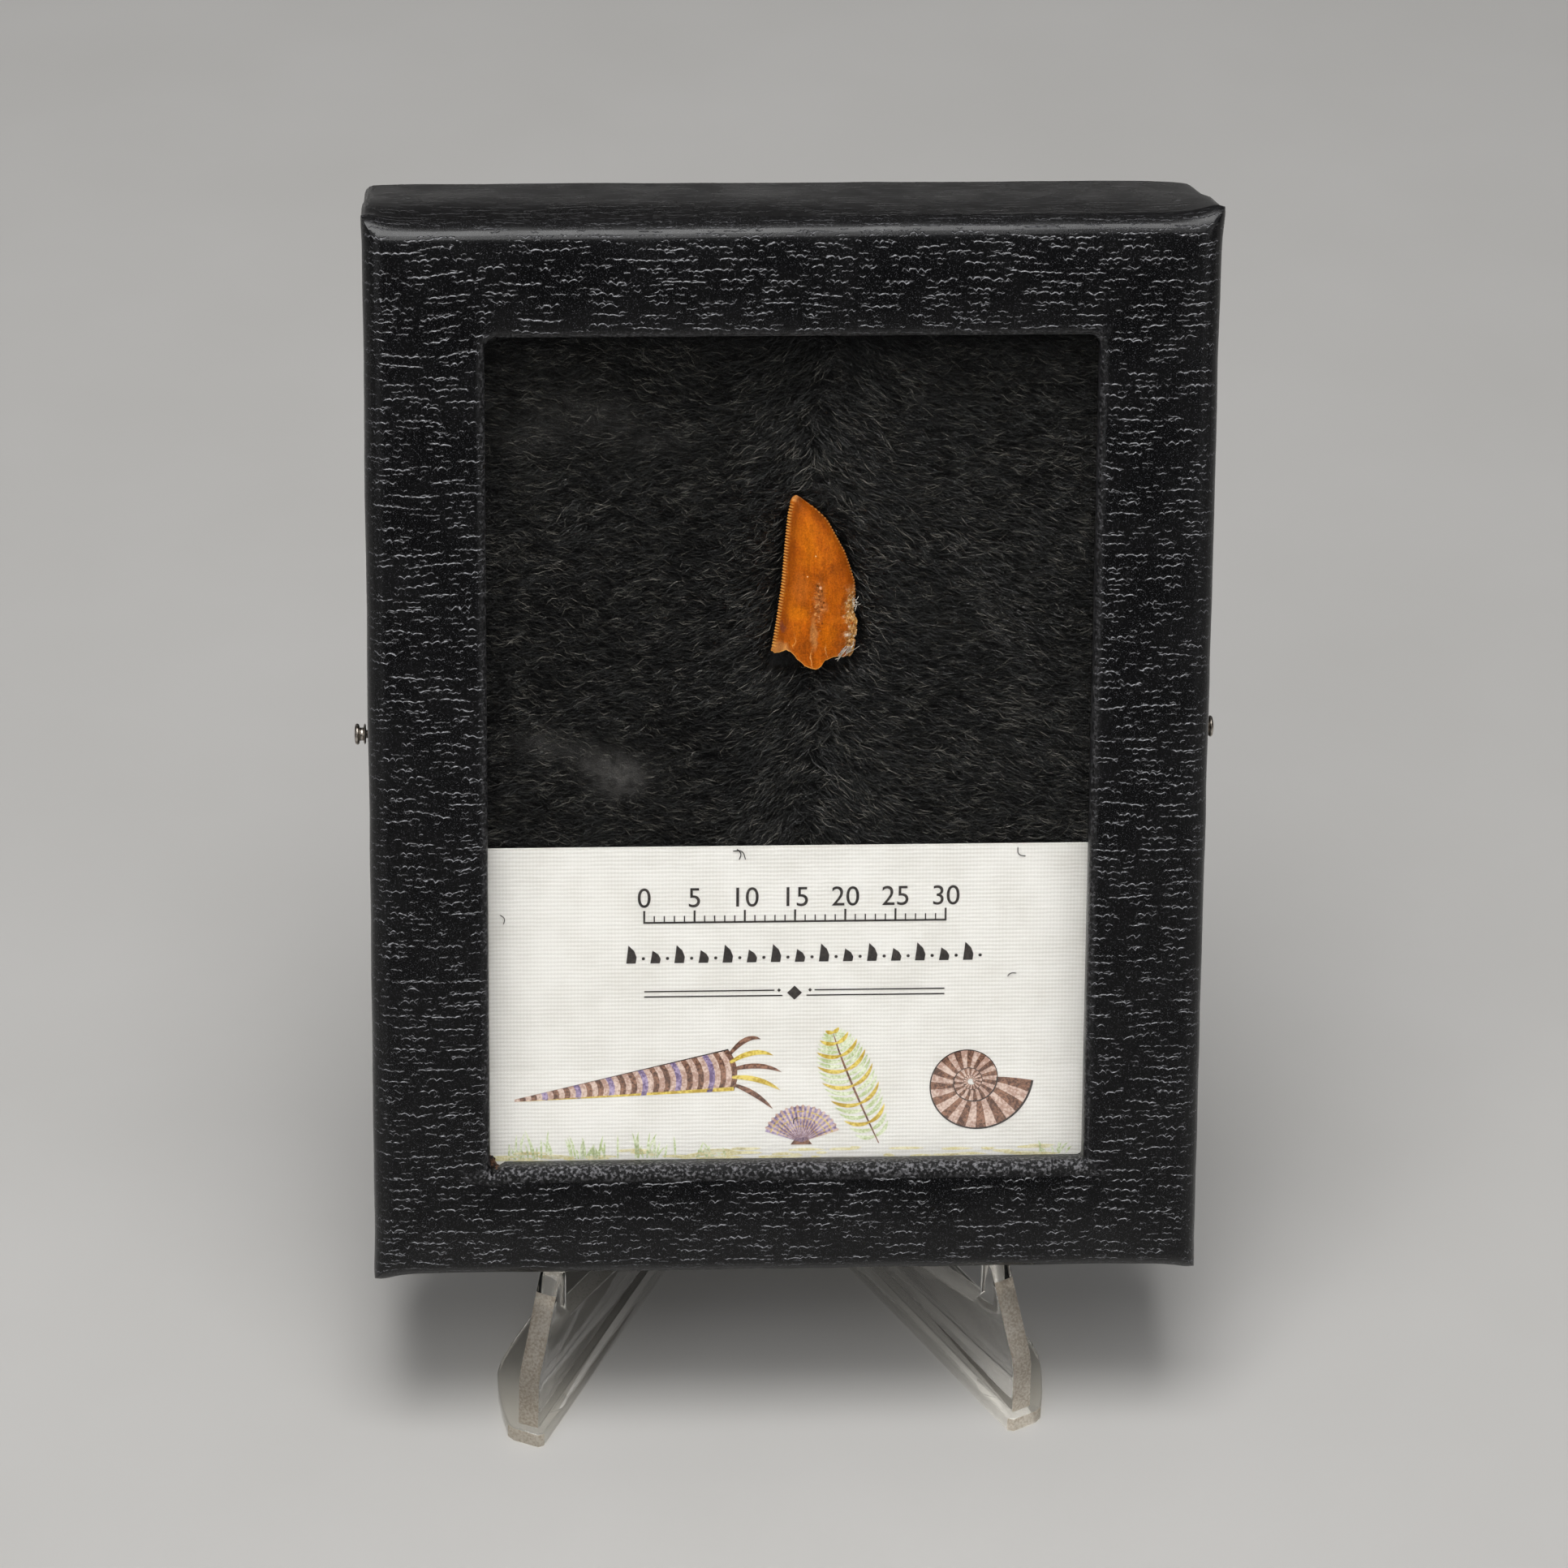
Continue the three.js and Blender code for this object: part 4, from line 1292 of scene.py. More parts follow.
@dataclass
class Window:
    """The pane, and the haze that fingers have left on it."""

    place: BoxFrame
    face: float = 2.9  # depth of the pane's front
    left: float = -29.0  # where the glass shows from
    fade_out: float = 2.4  # reach of a smear's sheet, in half widths of its dabs
    # Each smear is a run of soft dabs: x, z, half width, half height, thickness.
    smears: tuple[Rows, ...] = (
        ((-16.6, 51.6, 2.3, 1.8, 0.9), (-18.8, 52.8, 2.2, 1.2, 0.5), (-21.5, 54.2, 2.8, 0.9, 0.3),
         (-25.0, 55.3, 2.4, 1.0, 0.32)),
        ((-19.9, 88.3, 4.5, 1.9, 0.22), (-25.0, 86.0, 3.0, 1.5, 0.16), (-14.0, 85.6, 4.0, 1.4, 0.14)),
    )

    def smear(self, index: int) -> Object:
        """Adds one smear as a thin sheet on the glass.

        Args:
            index: which smear.

        Returns:
            The sheet in the box's frame, with its film's thickness in its mesh.
        """
        dabs = np.array(self.smears[index])
        low = (dabs[:, :2] - self.fade_out * dabs[:, 2:4]).min(axis=0)
        high = (dabs[:, :2] + self.fade_out * dabs[:, 2:4]).max(axis=0)
        low[0] = max(low[0], self.left)
        sheet, share = add_grid(f"glass_haze_{index + 1}", 48, 32)
        x, z = (low[axis] + (high[axis] - low[axis]) * (share[axis] + 0.5) for axis in (0, 1))
        clear = np.ones(len(x))
        for dab_x, dab_z, wide, tall, thick in dabs:
            clear *= 1 - thick * np.exp(-(((x - dab_x) / wide) ** 2) - ((z - dab_z) / tall) ** 2)
        border = np.minimum.reduce([x - low[0], high[0] - x, z - low[1], high[1] - z])
        move_points(sheet, places_at(x, self.face - 0.03, z))
        add_layer(sheet, "film", (1 - clear) * ramp(border, 0, 0.8))
        return sheet

    def build(self, glass: Material, haze: Material) -> None:
        """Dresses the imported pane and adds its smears.

        Args:
            glass: the pane's material.
            haze: the film's.
        """
        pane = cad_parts["window_glass"]
        dress(pane, [glass])
        log.info("window_glass: packed solid")
        for index in range(len(self.smears)):
            finish_piece(self.smear(index), [haze], self.place.to_model)


@dataclass
class Pin:
    """A side pin: a double-disc head on a pointed shaft. Its own axis is +Z, its head's end at 0."""

    name: str
    side: int  # -1 for the left of the box, 1 for the right
    place: BoxFrame
    height: float = 54.3
    head_radius: float = 1.05
    head_reach: float = 1.45
    disc: float = 0.5
    neck_radius: float = 0.65
    shaft_radius: float = 0.4
    shaft_length: float = 8.5
    clearance: float = 0.3

    def profile(self) -> list[tuple[float, float]]:
        """Radius and height from the middle of the head's end to the shaft's point.

        Returns:
            The profile.
        """
        inner = self.head_reach - self.clearance
        second = self.head_reach - self.disc
        radius, soft = self.head_radius, 0.13
        return [
            (0, 0), (radius * 0.55, 0.03), (radius - soft, 0.1), (radius, 0.1 + soft),
            (radius, self.disc - soft), (radius - soft, self.disc), (self.neck_radius, self.disc + 0.05),
            (self.neck_radius, second - 0.05), (radius - soft, second), (radius, second + soft),
            (radius, inner - soft), (radius - soft, inner), (self.shaft_radius, inner + 0.03),
            (self.shaft_radius, self.head_reach + self.shaft_length - 1.4),
            (0, self.head_reach + self.shaft_length),
        ]

    def build(self, steel: Material) -> None:
        """Spins the profile and sets the pin in the side of the box.

        Args:
            steel: its material.
        """
        line = [(radius * MM, 0, height * MM) for radius, height in self.profile()]
        pin = add_mesh(self.name, line, [(i, i + 1) for i in range(len(line) - 1)])
        with editing(pin):
            bpy.ops.mesh.select_all(action="SELECT")
            bpy.ops.mesh.spin(steps=40, angle=math.tau, center=(0, 0, 0), axis=(0, 0, 1))
            bpy.ops.mesh.select_all(action="SELECT")
            bpy.ops.mesh.remove_doubles(threshold=WELD)
            bpy.ops.mesh.normals_make_consistent(inside=False)
        modify(pin, "BEVEL", width=0.05 * MM, segments=2, limit_method="ANGLE", angle_limit=math.radians(30))
        smooth(pin, 40)
        outside = self.side * (self.place.width / 2 + self.head_reach)
        inwards = Matrix.Rotation(-self.side * math.pi / 2, 4, "Y")
        set_in = Matrix.Translation(Vector((outside, self.place.depth / 2, self.height)) * MM) @ inwards
        packed = "pin_left" if self.side < 0 else "pin_right"
        finish_piece(pin, [steel], self.place.to_model @ set_in, [packed])


# ---- the tooth


@dataclass
class Tooth:
    """The blade. Its own frame is x across, y through and z up from the lowest point of the broken root."""

    place: BoxFrame
    x: float = 2.5  # where its frame stands in the box's
    depth: float = 6.9
    z: float = 61.45
    height: float = 17.8
    thickness: float = 3.6
    width: float = 8.2  # the width at which it is that thick
    denticle_pitch: float = 0.3
    denticle_depth: float = 0.1
    groove_reach: float = 0.46  # how far the gaps between denticles run in over the faces
    bead_depth: float = 0.06
    beads_from: float = 5.8
    break_slope: float = math.radians(14)
    tip_round: float = 0.4
    rings: int = 460
    columns: int = 44  # along each face, edge to edge
    rear_edge: Rows = (
        (-4.45, -1.4), (-4.21, 1.9), (-3.9, 3.72), (-3.59, 5.88), (-3.21, 8.85),
        (-2.99, 11.73), (-2.84, 13.71), (-2.62, 16.0), (-2.31, 17.4), (-2.12, 17.66),
    )
    front_edge: Rows = (
        (3.4, -1.4), (3.57, 1.16), (3.97, 1.74), (4.2, 3.07), (4.34, 4.15), (4.33, 5.14), (4.01, 5.73),
        (4.15, 7.8), (4.06, 8.95), (3.56, 10.61), (3.07, 12.0), (2.18, 13.67), (1.28, 15.32), (0.0, 16.56),
        (-1.22, 17.4), (-1.5, 17.66),
    )
    root_break: Rows = (
        (-4.5, 1.95), (-3.8, 1.65), (-2.93, 1.89), (-2.2, 1.8), (-1.8, 1.21), (-1.15, 0.54), (-0.35, 0.12),
        (0.13, 0), (0.53, 0.19), (1.09, 0.94), (1.97, 1.26), (2.93, 1.21), (3.57, 1.16), (4.6, 1.5),
    )

    @property
    def to_box(self) -> Matrix:
        """Places the blade's own metres in the box's frame."""
        return Matrix.Translation(Vector((self.x, self.depth, self.z)) * MM)

    def edges(self, z: np.ndarray) -> tuple[np.ndarray, np.ndarray]:
        """The rear and the front edge's x at some heights.

        Args:
            z: the heights.

        Returns:
            Both edges' x.
        """
        both = []
        for edge in (self.rear_edge, self.front_edge):
            xs, zs = np.array(edge).T
            below, line, above = (np.interp(z + shift, zs, xs) for shift in (-0.25, 0, 0.25))
            both.append((below + 2 * line + above) / 4)
        return tuple(both)

    def surface(self, share: np.ndarray, across: np.ndarray, side: int) -> tuple[np.ndarray, np.ndarray]:
        """Points of one face of the blade.

        Args:
            share: height of each point, from 0 at the break to 1 at the tip.
            across: place of each point between the edges, from -1 at the rear to 1 at the front.
            side: -1 for the face that looks out of the box, 1 for the one behind.

        Returns:
            The points in millimetres, and for each its wear and painted light, from -1 for painted shade in a
            gap between denticles to 1 for pale wear with a painted highlight on their crowns, how broken, and
            the painted shade of a band just inside the thin edges, both from 0 to 1.
        """
        top = self.height - 0.03
        break_x, break_z = np.array(self.root_break).T
        low = 1.5
        for _ in range(3):  # the break's height depends on the depth that it gives
            rear, front = self.edges(np.asarray(low) + 0 * share)
            x = (rear + front) / 2 + across * (front - rear) / 2
            low = np.interp(x, break_x, break_z)
        along = places_at(x, side * 0.6, 0)
        jag = rough(along, 0.5, 9) + 0.6 * rough(along, 0.19, 4)
        low = low + 0.22 + 0.26 * jag
        z = low + (top - low) * share
        rear, front = self.edges(z)
        width = np.maximum(front - rear, 0.02)
        blunt = np.clip((z - top + self.tip_round) / self.tip_round, 0, 1)
        width = width * np.sqrt(1 - 0.98 * blunt**2)
        middle = (rear + front) / 2
        # Denticles are rounded lobes with narrow gaps between them.
        phase = z / self.denticle_pitch % 1.0
        gap = ((1 + np.cos(math.tau * phase)) / 2) ** 1.3
        fade = ramp(z, 1.9, 2.6) * (1 - ramp(z, 16.6, 17.3))
        from_rear = (across + 1) / 2 * width
        from_front = (1 - across) / 2 * width
        lobes = gap * fade * (1 - ramp(from_rear, 0, self.groove_reach))
        beads = gap * fade * ramp(z, self.beads_from, self.beads_from + 0.6)
        beads = beads * (1 - ramp(from_front, 0, 0.3))
        half = self.thickness / 2 * (width / self.width) ** 0.8
        lens = np.clip(1 - across * across, 0, 1) ** 0.72
        crest = np.interp(z, (0, 11.4, 17.7), (0.45, 0.25, -1.72))
        off_crest = middle + across * width / 2 - crest
        ridge = 0.15 * np.exp(-np.abs(off_crest) / 0.55) * ramp(z, 4, 12)
        depth = half * (lens + ridge * lens)
        depth = depth * (1 - 0.55 * lobes) - 0.02 * beads
        depth = np.maximum(depth, 0)
        x = middle + across * width / 2
        x = x + self.denticle_depth * lobes * (across < 0) * (1 - ramp(from_rear, 0, 0.25))
        x = x - self.bead_depth * beads * (across > 0)
        # Enamel has flaked off the lower front edge.
        flake = ramp(across, 0.52, 0.9) * ramp(z, 0.6, 1.8) * (1 - ramp(z, 7.0, 9.2))
        places = places_at(x, side * depth, z)
        chips = rough(places, 0.6, 3) + 0.7 * rough(places, 0.24, 8)
        depth = depth - flake * (0.14 + 0.22 * chips) * ramp(depth, 0, 0.3)
        x = x - flake * ramp(across, 0.9, 1.0) * 0.25 * np.maximum(chips, 0)
        wrinkles = rough(places * (1, 1, 0.28), 0.9, 1) * 0.035
        pits = np.exp(-(((x - 0.4) / 0.55) ** 2) - ((z - 7.3) / 2.6) ** 2)
        pitted = np.maximum(rough(places, 0.26, 7) - 0.1, 0) * pits * 0.35
        depth = depth + (wrinkles - pitted) * ramp(lens, 0, 0.5)
        # The denticles' crowns take pale wear with a painted highlight, and the gaps between them take painted
        # shade.
        worn = 0.8 * (1 - ramp(from_rear, 0.2, 0.5)) * (1 - gap) - (1 - ramp(from_rear, 0.3, 0.55)) * gap**3
        bead_wear = (1 - ramp(from_front, 0, 0.22)) * (0.7 - 1.3 * gap)
        worn = np.where(across > 0, bead_wear * fade, worn * fade)
        broken = np.clip(flake * ramp(ramp(across, 0.55, 0.95) + 0.8 * chips, 0.25, 0.7), 0, 1)
        # A band of painted shade runs just inside each edge.
        edge_shade = np.exp(-(((from_rear - 0.75) / 0.35) ** 2)) + 0.9 * np.exp(-(((from_front - 0.35) / 0.45) ** 2))
        worn = np.maximum(worn * (1 - broken), 0.6 * (1 - ramp(z - low, 0, 0.16)))
        z = z + side * depth * math.tan(self.break_slope) * -1 * (1 - ramp(share, 0, 0.25)) * 0.6
        return places_at(x, side * depth, z), np.stack([worn, broken, edge_shade], axis=-1)

    def mesh(self) -> Object:
        """Builds the closed blade: two faces that share their edges, a rough break and a rounded tip.

        Returns:
            The blade.
        """
        rows, columns = self.rings, self.columns
        across_line = -np.cos(np.linspace(0, math.pi, columns + 1))
        share, across = np.meshgrid(np.linspace(0, 1, rows + 1), across_line, indexing="ij")
        front, front_worn = self.surface(share, across, -1)
        back, back_worn = self.surface(share, across, 1)
        for edge in (0, -1):
            shared = (front[:, edge] + back[:, edge]) / 2
            shared[:, 1] = 0
            front[:, edge] = back[:, edge] = shared
        # Each ring runs over the front face and returns over the back one, without repeating the edges.
        loop = np.concatenate([front, back[:, -2:0:-1]], axis=1)
        worn = np.concatenate([front_worn, back_worn[:, -2:0:-1]], axis=1)
        count = loop.shape[1]
        points = loop.reshape(-1, 3)
        ring, after = np.arange(count), np.roll(np.arange(count), -1)
        faces = []
        for low in range(0, rows * count, count):
            faces.append(np.stack([low + ring, low + after, low + count + after, low + count + ring], axis=1))
        # The break is closed by strips between the two faces, roughened as they cross.
        steps = 7
        cap_points, cap_worn = [], []
        front_ring = np.arange(columns + 1)
        back_ring = np.concatenate([[0], np.arange(count - 1, columns, -1), [columns]])
        rows_of = [front_ring]
        start = len(points)
        for step in range(1, steps):
            blend = step / steps
            inner = (front[0] * (1 - blend) + back[0] * blend)[1:-1]
            grit = rough(inner, 0.7, 4) * 0.28 * math.sin(math.pi * blend)
            inner = inner + places_at(0, 0, 0.22 * math.sin(math.pi * blend) + grit)
            cap_points.append(inner)
            cap_worn.append(np.full((len(inner), 3), (0.3, 0.35, 0.0)))
            rows_of.append(np.concatenate([[0], start + np.arange(columns - 1), [columns]]))
            start += columns - 1
        rows_of.append(back_ring)
        for lower, upper in zip(rows_of, rows_of[1:]):
            faces.append(np.stack([lower[1:], lower[:-1], upper[:-1], upper[1:]], axis=1))
        tip = rows * count + ring
        points = np.concatenate([points, *cap_points])
        worn = np.concatenate([worn.reshape(-1, 3), *cap_worn])
        pole = len(points)
        points = np.concatenate([points, [points[tip].mean(axis=0) + (0, 0, 0.008)]])
        worn = np.concatenate([worn, [(0.3, 0.0, 0.0)]])
        faces.append(np.stack([tip, np.roll(tip, -1), np.full(count, pole), np.full(count, pole)], axis=1))
        # Where two corners of a face are one point, it is a triangle, or nothing.
        corners = [list(dict.fromkeys(face)) for face in np.concatenate(faces).tolist()]
        blade = add_mesh("tooth_blade", [Vector(point) * MM for point in points.tolist()],
                         [face for face in corners if len(face) > 2])
        for name, values in zip(("worn", "broken", "edge_shade"), worn.T):
            add_layer(blade, name, values.copy())
        with editing(blade):
            turn_outwards()
        return blade

    def build(self) -> None:
        """Builds the tooth and lays it in its nest."""
        blade = self.mesh()
        smooth(blade, 60)
        to_model = self.place.to_model @ self.to_box
        enamel = FossilEnamel().material(to_model.inverted())
        finish_piece(blade, [enamel], to_model, ["tooth"])


# ---- the plush bed


@dataclass
class PlushBed:
    """The plush: a padded ground and its combed pile, parted above the tooth."""

    place: BoxFrame
    tooth: Tooth
    inset: float = 3.9  # from the box's outline
    back: float = 16.87
    nap: float = 5.7  # depth of the tips of the pile
    roll: float = 0.9
    roll_width: float = 7.0
    nest: float = 2.4
    nest_width: float = 6.5
    nest_height: float = 11.5
    pile: float = 1.5  # the ground's depth below the tips
    fibre_length: tuple[float, float] = (1.5, 3.6)
    fibre_width: float = 0.08
    fibres: int = 170_000
    tuft: tuple[float, float] = (1.3, 0.55)
    window_from: float = 11.6  # painted shade darkens the pile just inside the top of the window, below the lid's rail
    pile_from: float = 40.0  # the card covers the bed below this
    bands: int = 6
    ribbon: Rows = ((0, 1, 3, 2), (2, 3, 5, 4), (4, 5, 6))  # a fibre's faces
    seed: int = 11

    def tips(self, x: np.ndarray, z: np.ndarray) -> np.ndarray:
        """Depth of the tips of the pile at some places.

        Args:
            x: the places across the box.
            z: their heights.

        Returns:
            Their depths.
        """
        half, high = self.place.width / 2 - self.inset + 0.3, self.place.height - self.inset + 0.3
        to_wall = np.minimum(np.minimum(half - np.abs(x), z - self.inset + 0.3), high - z)
        rolled = self.roll * (1 - ramp(to_wall, 0, self.roll_width))
        across = (x - self.tooth.x) / self.nest_width
        up = (z - self.tooth.z - self.tooth.height / 2) / self.nest_height
        return self.nap + rolled + self.nest * np.exp(-2 * (across**2 + up**2))

    def ground(self, backing: Material) -> None:
        """Builds the padded ground below the pile.

        Args:
            backing: its material.
        """
        half = self.place.width / 2 - self.inset
        ground = add_block("plush_ground", (-half, self.nap, self.inset),
                           (half, self.back, self.place.height - self.inset))
        cut_across(ground, 0, list(np.arange(-half + 1.5, half - 1, 1.5)))
        cut_across(ground, 2, list(np.arange(self.inset + 1.5, self.place.height - self.inset - 1, 1.5)))
        points = points_of(ground)
        x, y, z = points.T
        padded = self.tips(x, z) + self.pile + rough(points, 2.2, 2) * 0.15
        move_points(ground, places_at(x, np.where(y < self.nap + 0.1, padded, y), z))
        smooth(ground, 60)
        finish_piece(ground, [backing], self.place.to_model, ["plush_bed"])

    def comb(self, x: np.ndarray, z: np.ndarray) -> np.ndarray:
        """The angle below the horizontal, outwards from the parting, that the pile lies at, in radians.

        Args:
            x: the places across the box.
            z: their heights.

        Returns:
            The angle at each.
        """
        swirl = np.sin(x * 0.21 + z * 0.13 + 1.0) + np.sin(z * 0.31 - x * 0.11) + np.sin((x + z) * 0.43 + 2.0)
        away = np.abs(x - self.parting(z))
        far = np.where(x < self.tooth.x, -12.0, 4.0)
        lying = 32 + (far - 32) * ramp(away, 0, 10)
        return np.radians(lying + 5 * swirl)

    def parting(self, z: np.ndarray) -> np.ndarray:
        """Where the pile parts at some heights."""
        return self.tooth.x + 0.7 * np.sin(z * 0.35) + 0.4 * np.sin(z * 0.9)

    def pile_meshes(self, fibre: Material) -> None:
        """Builds the fibres as fine tapered ribbons, in bands up the bed.

        Args:
            fibre: their material.
        """
        tooth, draw = self.tooth, np.random.default_rng(self.seed)
        half = self.place.width / 2 - self.inset - 0.4
        high = self.place.height - self.inset - 0.4
        count = self.fibres
        x = draw.uniform(-half, half, count)
        z = draw.uniform(self.pile_from, high, count)
        rear, front = tooth.edges(z - tooth.z)
        under = (x - tooth.x > rear + 0.5) & (x - tooth.x < front - 0.5)
        under &= (z > tooth.z + 1.8) & (z < tooth.z + tooth.height - 0.8)
        x, z = x[~under], z[~under]
        count = len(x)
        # Fibres cling together in tufts, each with its own lie, curl and shade.
        column = ((x + half + draw.normal(0, 0.2, count)) / self.tuft[0]).astype(int) % 97
        row = ((z + draw.normal(0, 0.12, count)) / self.tuft[1]).astype(int) % 211
        turns, curls, shades, shifts = draw.normal(0, 1, (4, 211, 97))
        across = np.sin(x * 2.1 + z) * 0.3
        side = np.where(x + across + 1.7 * shifts[row, column] < self.parting(z), -1.0, 1.0)
        angle = self.comb(x, z) + np.radians(12 * turns[row, column] + draw.normal(0, 9, count))
        length = draw.uniform(*self.fibre_length, count)
        layer = np.clip(draw.uniform(0, 0.9, count) ** 1.3 + 0.12 * shades[row, column], 0, 1)
        stray = draw.random(count) < 0.02
        lift = np.where(stray, draw.uniform(0.2, 0.55, count), 0.0)
        bend = np.radians(24 * curls[row, column] + draw.normal(0, 16, count))
        lit = np.clip(1 + 0.55 * shades[row, column], 0.15, 2.4)
        # Painted shade under the lid's top rail darkens the pile just inside the window.
        painted_rail_shade = 0.25 + 0.75 * ramp(self.place.height - self.window_from - z, 0.4, 3.0)
        tone = np.clip(draw.beta(0.6, 3.0, count) * 1.7 * lit * painted_rail_shade, 0.01, 1)
        roll = draw.normal(0, 0.75, count)
        wave = draw.uniform(0, math.tau, count)
        nodes = []
        px, pz, before = x, z, 0.0
        for step in (0.0, 0.34, 0.68, 1.0):
            turned = angle + bend * 1.6 * (step - 0.5) + np.radians(24) * np.sin(wave + 5.5 * step)
            run = length * (step - before)
            before = step
            px = np.clip(px + side * np.cos(turned) * run, -half - 0.2, half + 0.2)
            pz = np.clip(pz - np.sin(turned) * run, self.pile_from - 3, high + 0.2)
            rise = self.pile * 0.95 * (1 - step) ** 2.2
            py = self.tips(px, pz) + np.maximum(rise, 0) + layer * (0.35 + 0.65 * step) - lift * step**2
            nodes.append(places_at(px, py, pz))
        # Keep fibres off the tooth: those that would cross its outline dip behind it.
        for node in nodes:
            across, depth, up = node[:, 0] - tooth.x, node[:, 1], node[:, 2] - tooth.z
            rear, front = tooth.edges(up)
            inside = (across > rear - 0.05) & (across < front + 0.05) & (up > 0.2) & (up < tooth.height + 0.1)
            node[:, 1] = np.where(inside, np.maximum(depth, tooth.depth + 1.9), depth)
        along = nodes[-1] - nodes[0]
        along /= np.linalg.norm(along, axis=1, keepdims=True)
        flat = np.cross(along, np.array([0.0, -1.0, 0.0]))
        flat /= np.linalg.norm(flat, axis=1, keepdims=True)
        up = np.cross(flat, along)
        wide = flat * np.cos(roll)[:, None] + up * np.sin(roll)[:, None]
        corners = []
        for node, width in zip(nodes, (self.fibre_width, self.fibre_width * 0.95, self.fibre_width * 0.8)):
            corners += [node - wide * width / 2, node + wide * width / 2]
        corners.append(nodes[-1])
        points = np.stack(corners, axis=1)  # fibre, corner, axis
        # Along each fibre the tone runs from painted shade at its root to a painted sheen at its tip.
        tones = np.stack([tone * s for s in (0.15, 0.15, 0.7, 0.7, 1.0, 1.0, 0.9)], axis=1)
        bounds = np.linspace(self.pile_from, high, self.bands + 1)
        for band in range(self.bands):
            chosen = (z >= bounds[band]) & (z < bounds[band + 1] + (band == self.bands - 1))
            start = np.arange(chosen.sum())[:, None] * points.shape[1]
            faces = [face for shape in self.ribbon for face in (start + shape).tolist()]
            pile = add_mesh(f"plush_pile_{band + 1}", (points[chosen] * MM).reshape(-1, 3).tolist(), faces)
            pile.data.shade_smooth()
            add_layer(pile, "tone", tones[chosen].ravel())
            finish_piece(pile, [fibre], self.place.to_model)

    def build(self) -> None:
        """Builds the ground and the pile."""
        self.ground(PlushBacking().material(self.place))
        self.pile_meshes(PlushFibre().material())


# ---- the easel


class Half(Enum):
    """The easel's two halves: the side they stand on and how their leg is turned from the x axis."""

    LEFT = ("easel_left", 64.6, 1)
    RIGHT = ("easel_right", 118.6, -1)


@dataclass
class Easel:
    """The clear folding easel: each half is an upright plate on a flared base."""

    length: float = 52.5  # front of the base to the hinge
    hinge: tuple[float, float] = (-2.1, 20.517)  # in the model
    edge_round: float = 0.16
    line_height: float = 15.5  # above it the mould was polished
    mark_radius: float = 2.2  # ejector-pin marks
    mark_depth: float = 0.12
    mark_at: tuple[float, float] = (5.6, 2.2)
    plate: tuple[float, float] = (0.9, 3.2)
    base: float = 1.7

    def to_model(self, half: Half) -> Matrix:
        """Places a leg's own metres, u back from its front, w outwards and z up, in the model.

        Args:
            half: whose leg it is.

        Returns:
            The place as a matrix.
        """
        _, turn, mirror = half.value
        return (
            Matrix.Translation(Vector((*self.hinge, 0)) * MM)
            @ Matrix.Rotation(math.radians(turn), 4, "Z")
            @ Matrix.Translation((-self.length * MM, 0, 0))
            @ Matrix.Diagonal((1, mirror, 1, 1))
        )

    def cut_marks(self, leg: Object) -> None:
        """Sinks the ejector-pin marks into the base on both sides of the plate.

        Args:
            leg: the leg, in its own frame.
        """
        u, w = self.mark_at
        for inner in (True, False):
            tool = add_alone(
                bpy.ops.mesh.primitive_cylinder_add, vertices=64, radius=self.mark_radius * MM,
                depth=2 * self.mark_depth * MM, location=Vector((u, w, self.base)) * MM)
            edge = self.plate[0] - 0.05 if inner else self.plate[1] + 0.05
            with editing(tool):
                bpy.ops.mesh.select_all(action="SELECT")
                bpy.ops.mesh.bisect(plane_co=(0, edge * MM, 0), plane_no=(0, 1, 0), use_fill=True,
                                    clear_outer=inner, clear_inner=not inner)
            modify(leg, "BOOLEAN", operation="DIFFERENCE", object=tool, solver="EXACT")
            bpy.data.objects.remove(tool)

    def frost(self, leg: Object) -> None:
        """Gives the front faces of the lip and the base the ground finish, the second material.

        Args:
            leg: the leg, in its own frame.
        """
        for face in leg.data.polygons:
            at, n = face.center / MM, face.normal
            ahead = n.x < -0.45 and at.x < 7.5
            on_lip = ahead and at.z < self.line_height and self.plate[0] < at.y < self.plate[1]
            on_base = ahead and at.z < self.base and at.y < 4.2
            face.material_index = int(on_lip or on_base)

    def build(self, clear: Material, ground: Material) -> None:
        """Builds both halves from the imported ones, with softened edges.

        Args:
            clear: the polished finish.
            ground: the frosted one.
        """
        for half in Half:
            node = half.value[0]
            leg = refined_copy(node, f"{node}_acrylic")
            to_model = self.to_model(half)
            leg.data.transform(to_model.inverted())
            if half.value[2] < 0:
                leg.data.flip_normals()
            self.cut_marks(leg)
            cut_across(leg, 2, [self.line_height])
            modify(leg, "BEVEL", width=self.edge_round * MM, segments=2, limit_method="ANGLE",
                   angle_limit=math.radians(28), use_clamp_overlap=True)
            dress(leg, [clear, ground])
            self.frost(leg)
            if half.value[2] < 0:
                leg.data.flip_normals()
            leg.data.transform(to_model)
            smooth(leg, 35)
            finish_piece(leg, [], replaced=[node])


# ---- the label card


Outline = list[tuple[float, float]]


def bar(x0: float, x1: float, z0: float, z1: float) -> Outline:
    """The outline of an upright rectangle."""
    return [(x0, z0), (x1, z0), (x1, z1), (x0, z1)]


def arc(x: float, z: float, radius: float, angles: Sequence[float]) -> Outline:
    """Points round a middle at some angles."""
    return [(x + radius * math.cos(angle), z + radius * math.sin(angle)) for angle in angles]


def band(edge: Outline, x: float, z: float, share: float) -> Outline:
    """The outline between an edge and its likeness drawn in towards a point, to a share of its distance."""
    return edge + [(x + (px - x) * share, z + (pz - z) * share) for px, pz in edge[::-1]]


def bow(start: np.ndarray, bend: np.ndarray, end: np.ndarray, share: np.ndarray | float) -> np.ndarray:
    """Places along a curve from start to end that bend pulls aside, at shares of the way."""
    return (1 - share) ** 2 * start + 2 * share * (1 - share) * bend + share**2 * end


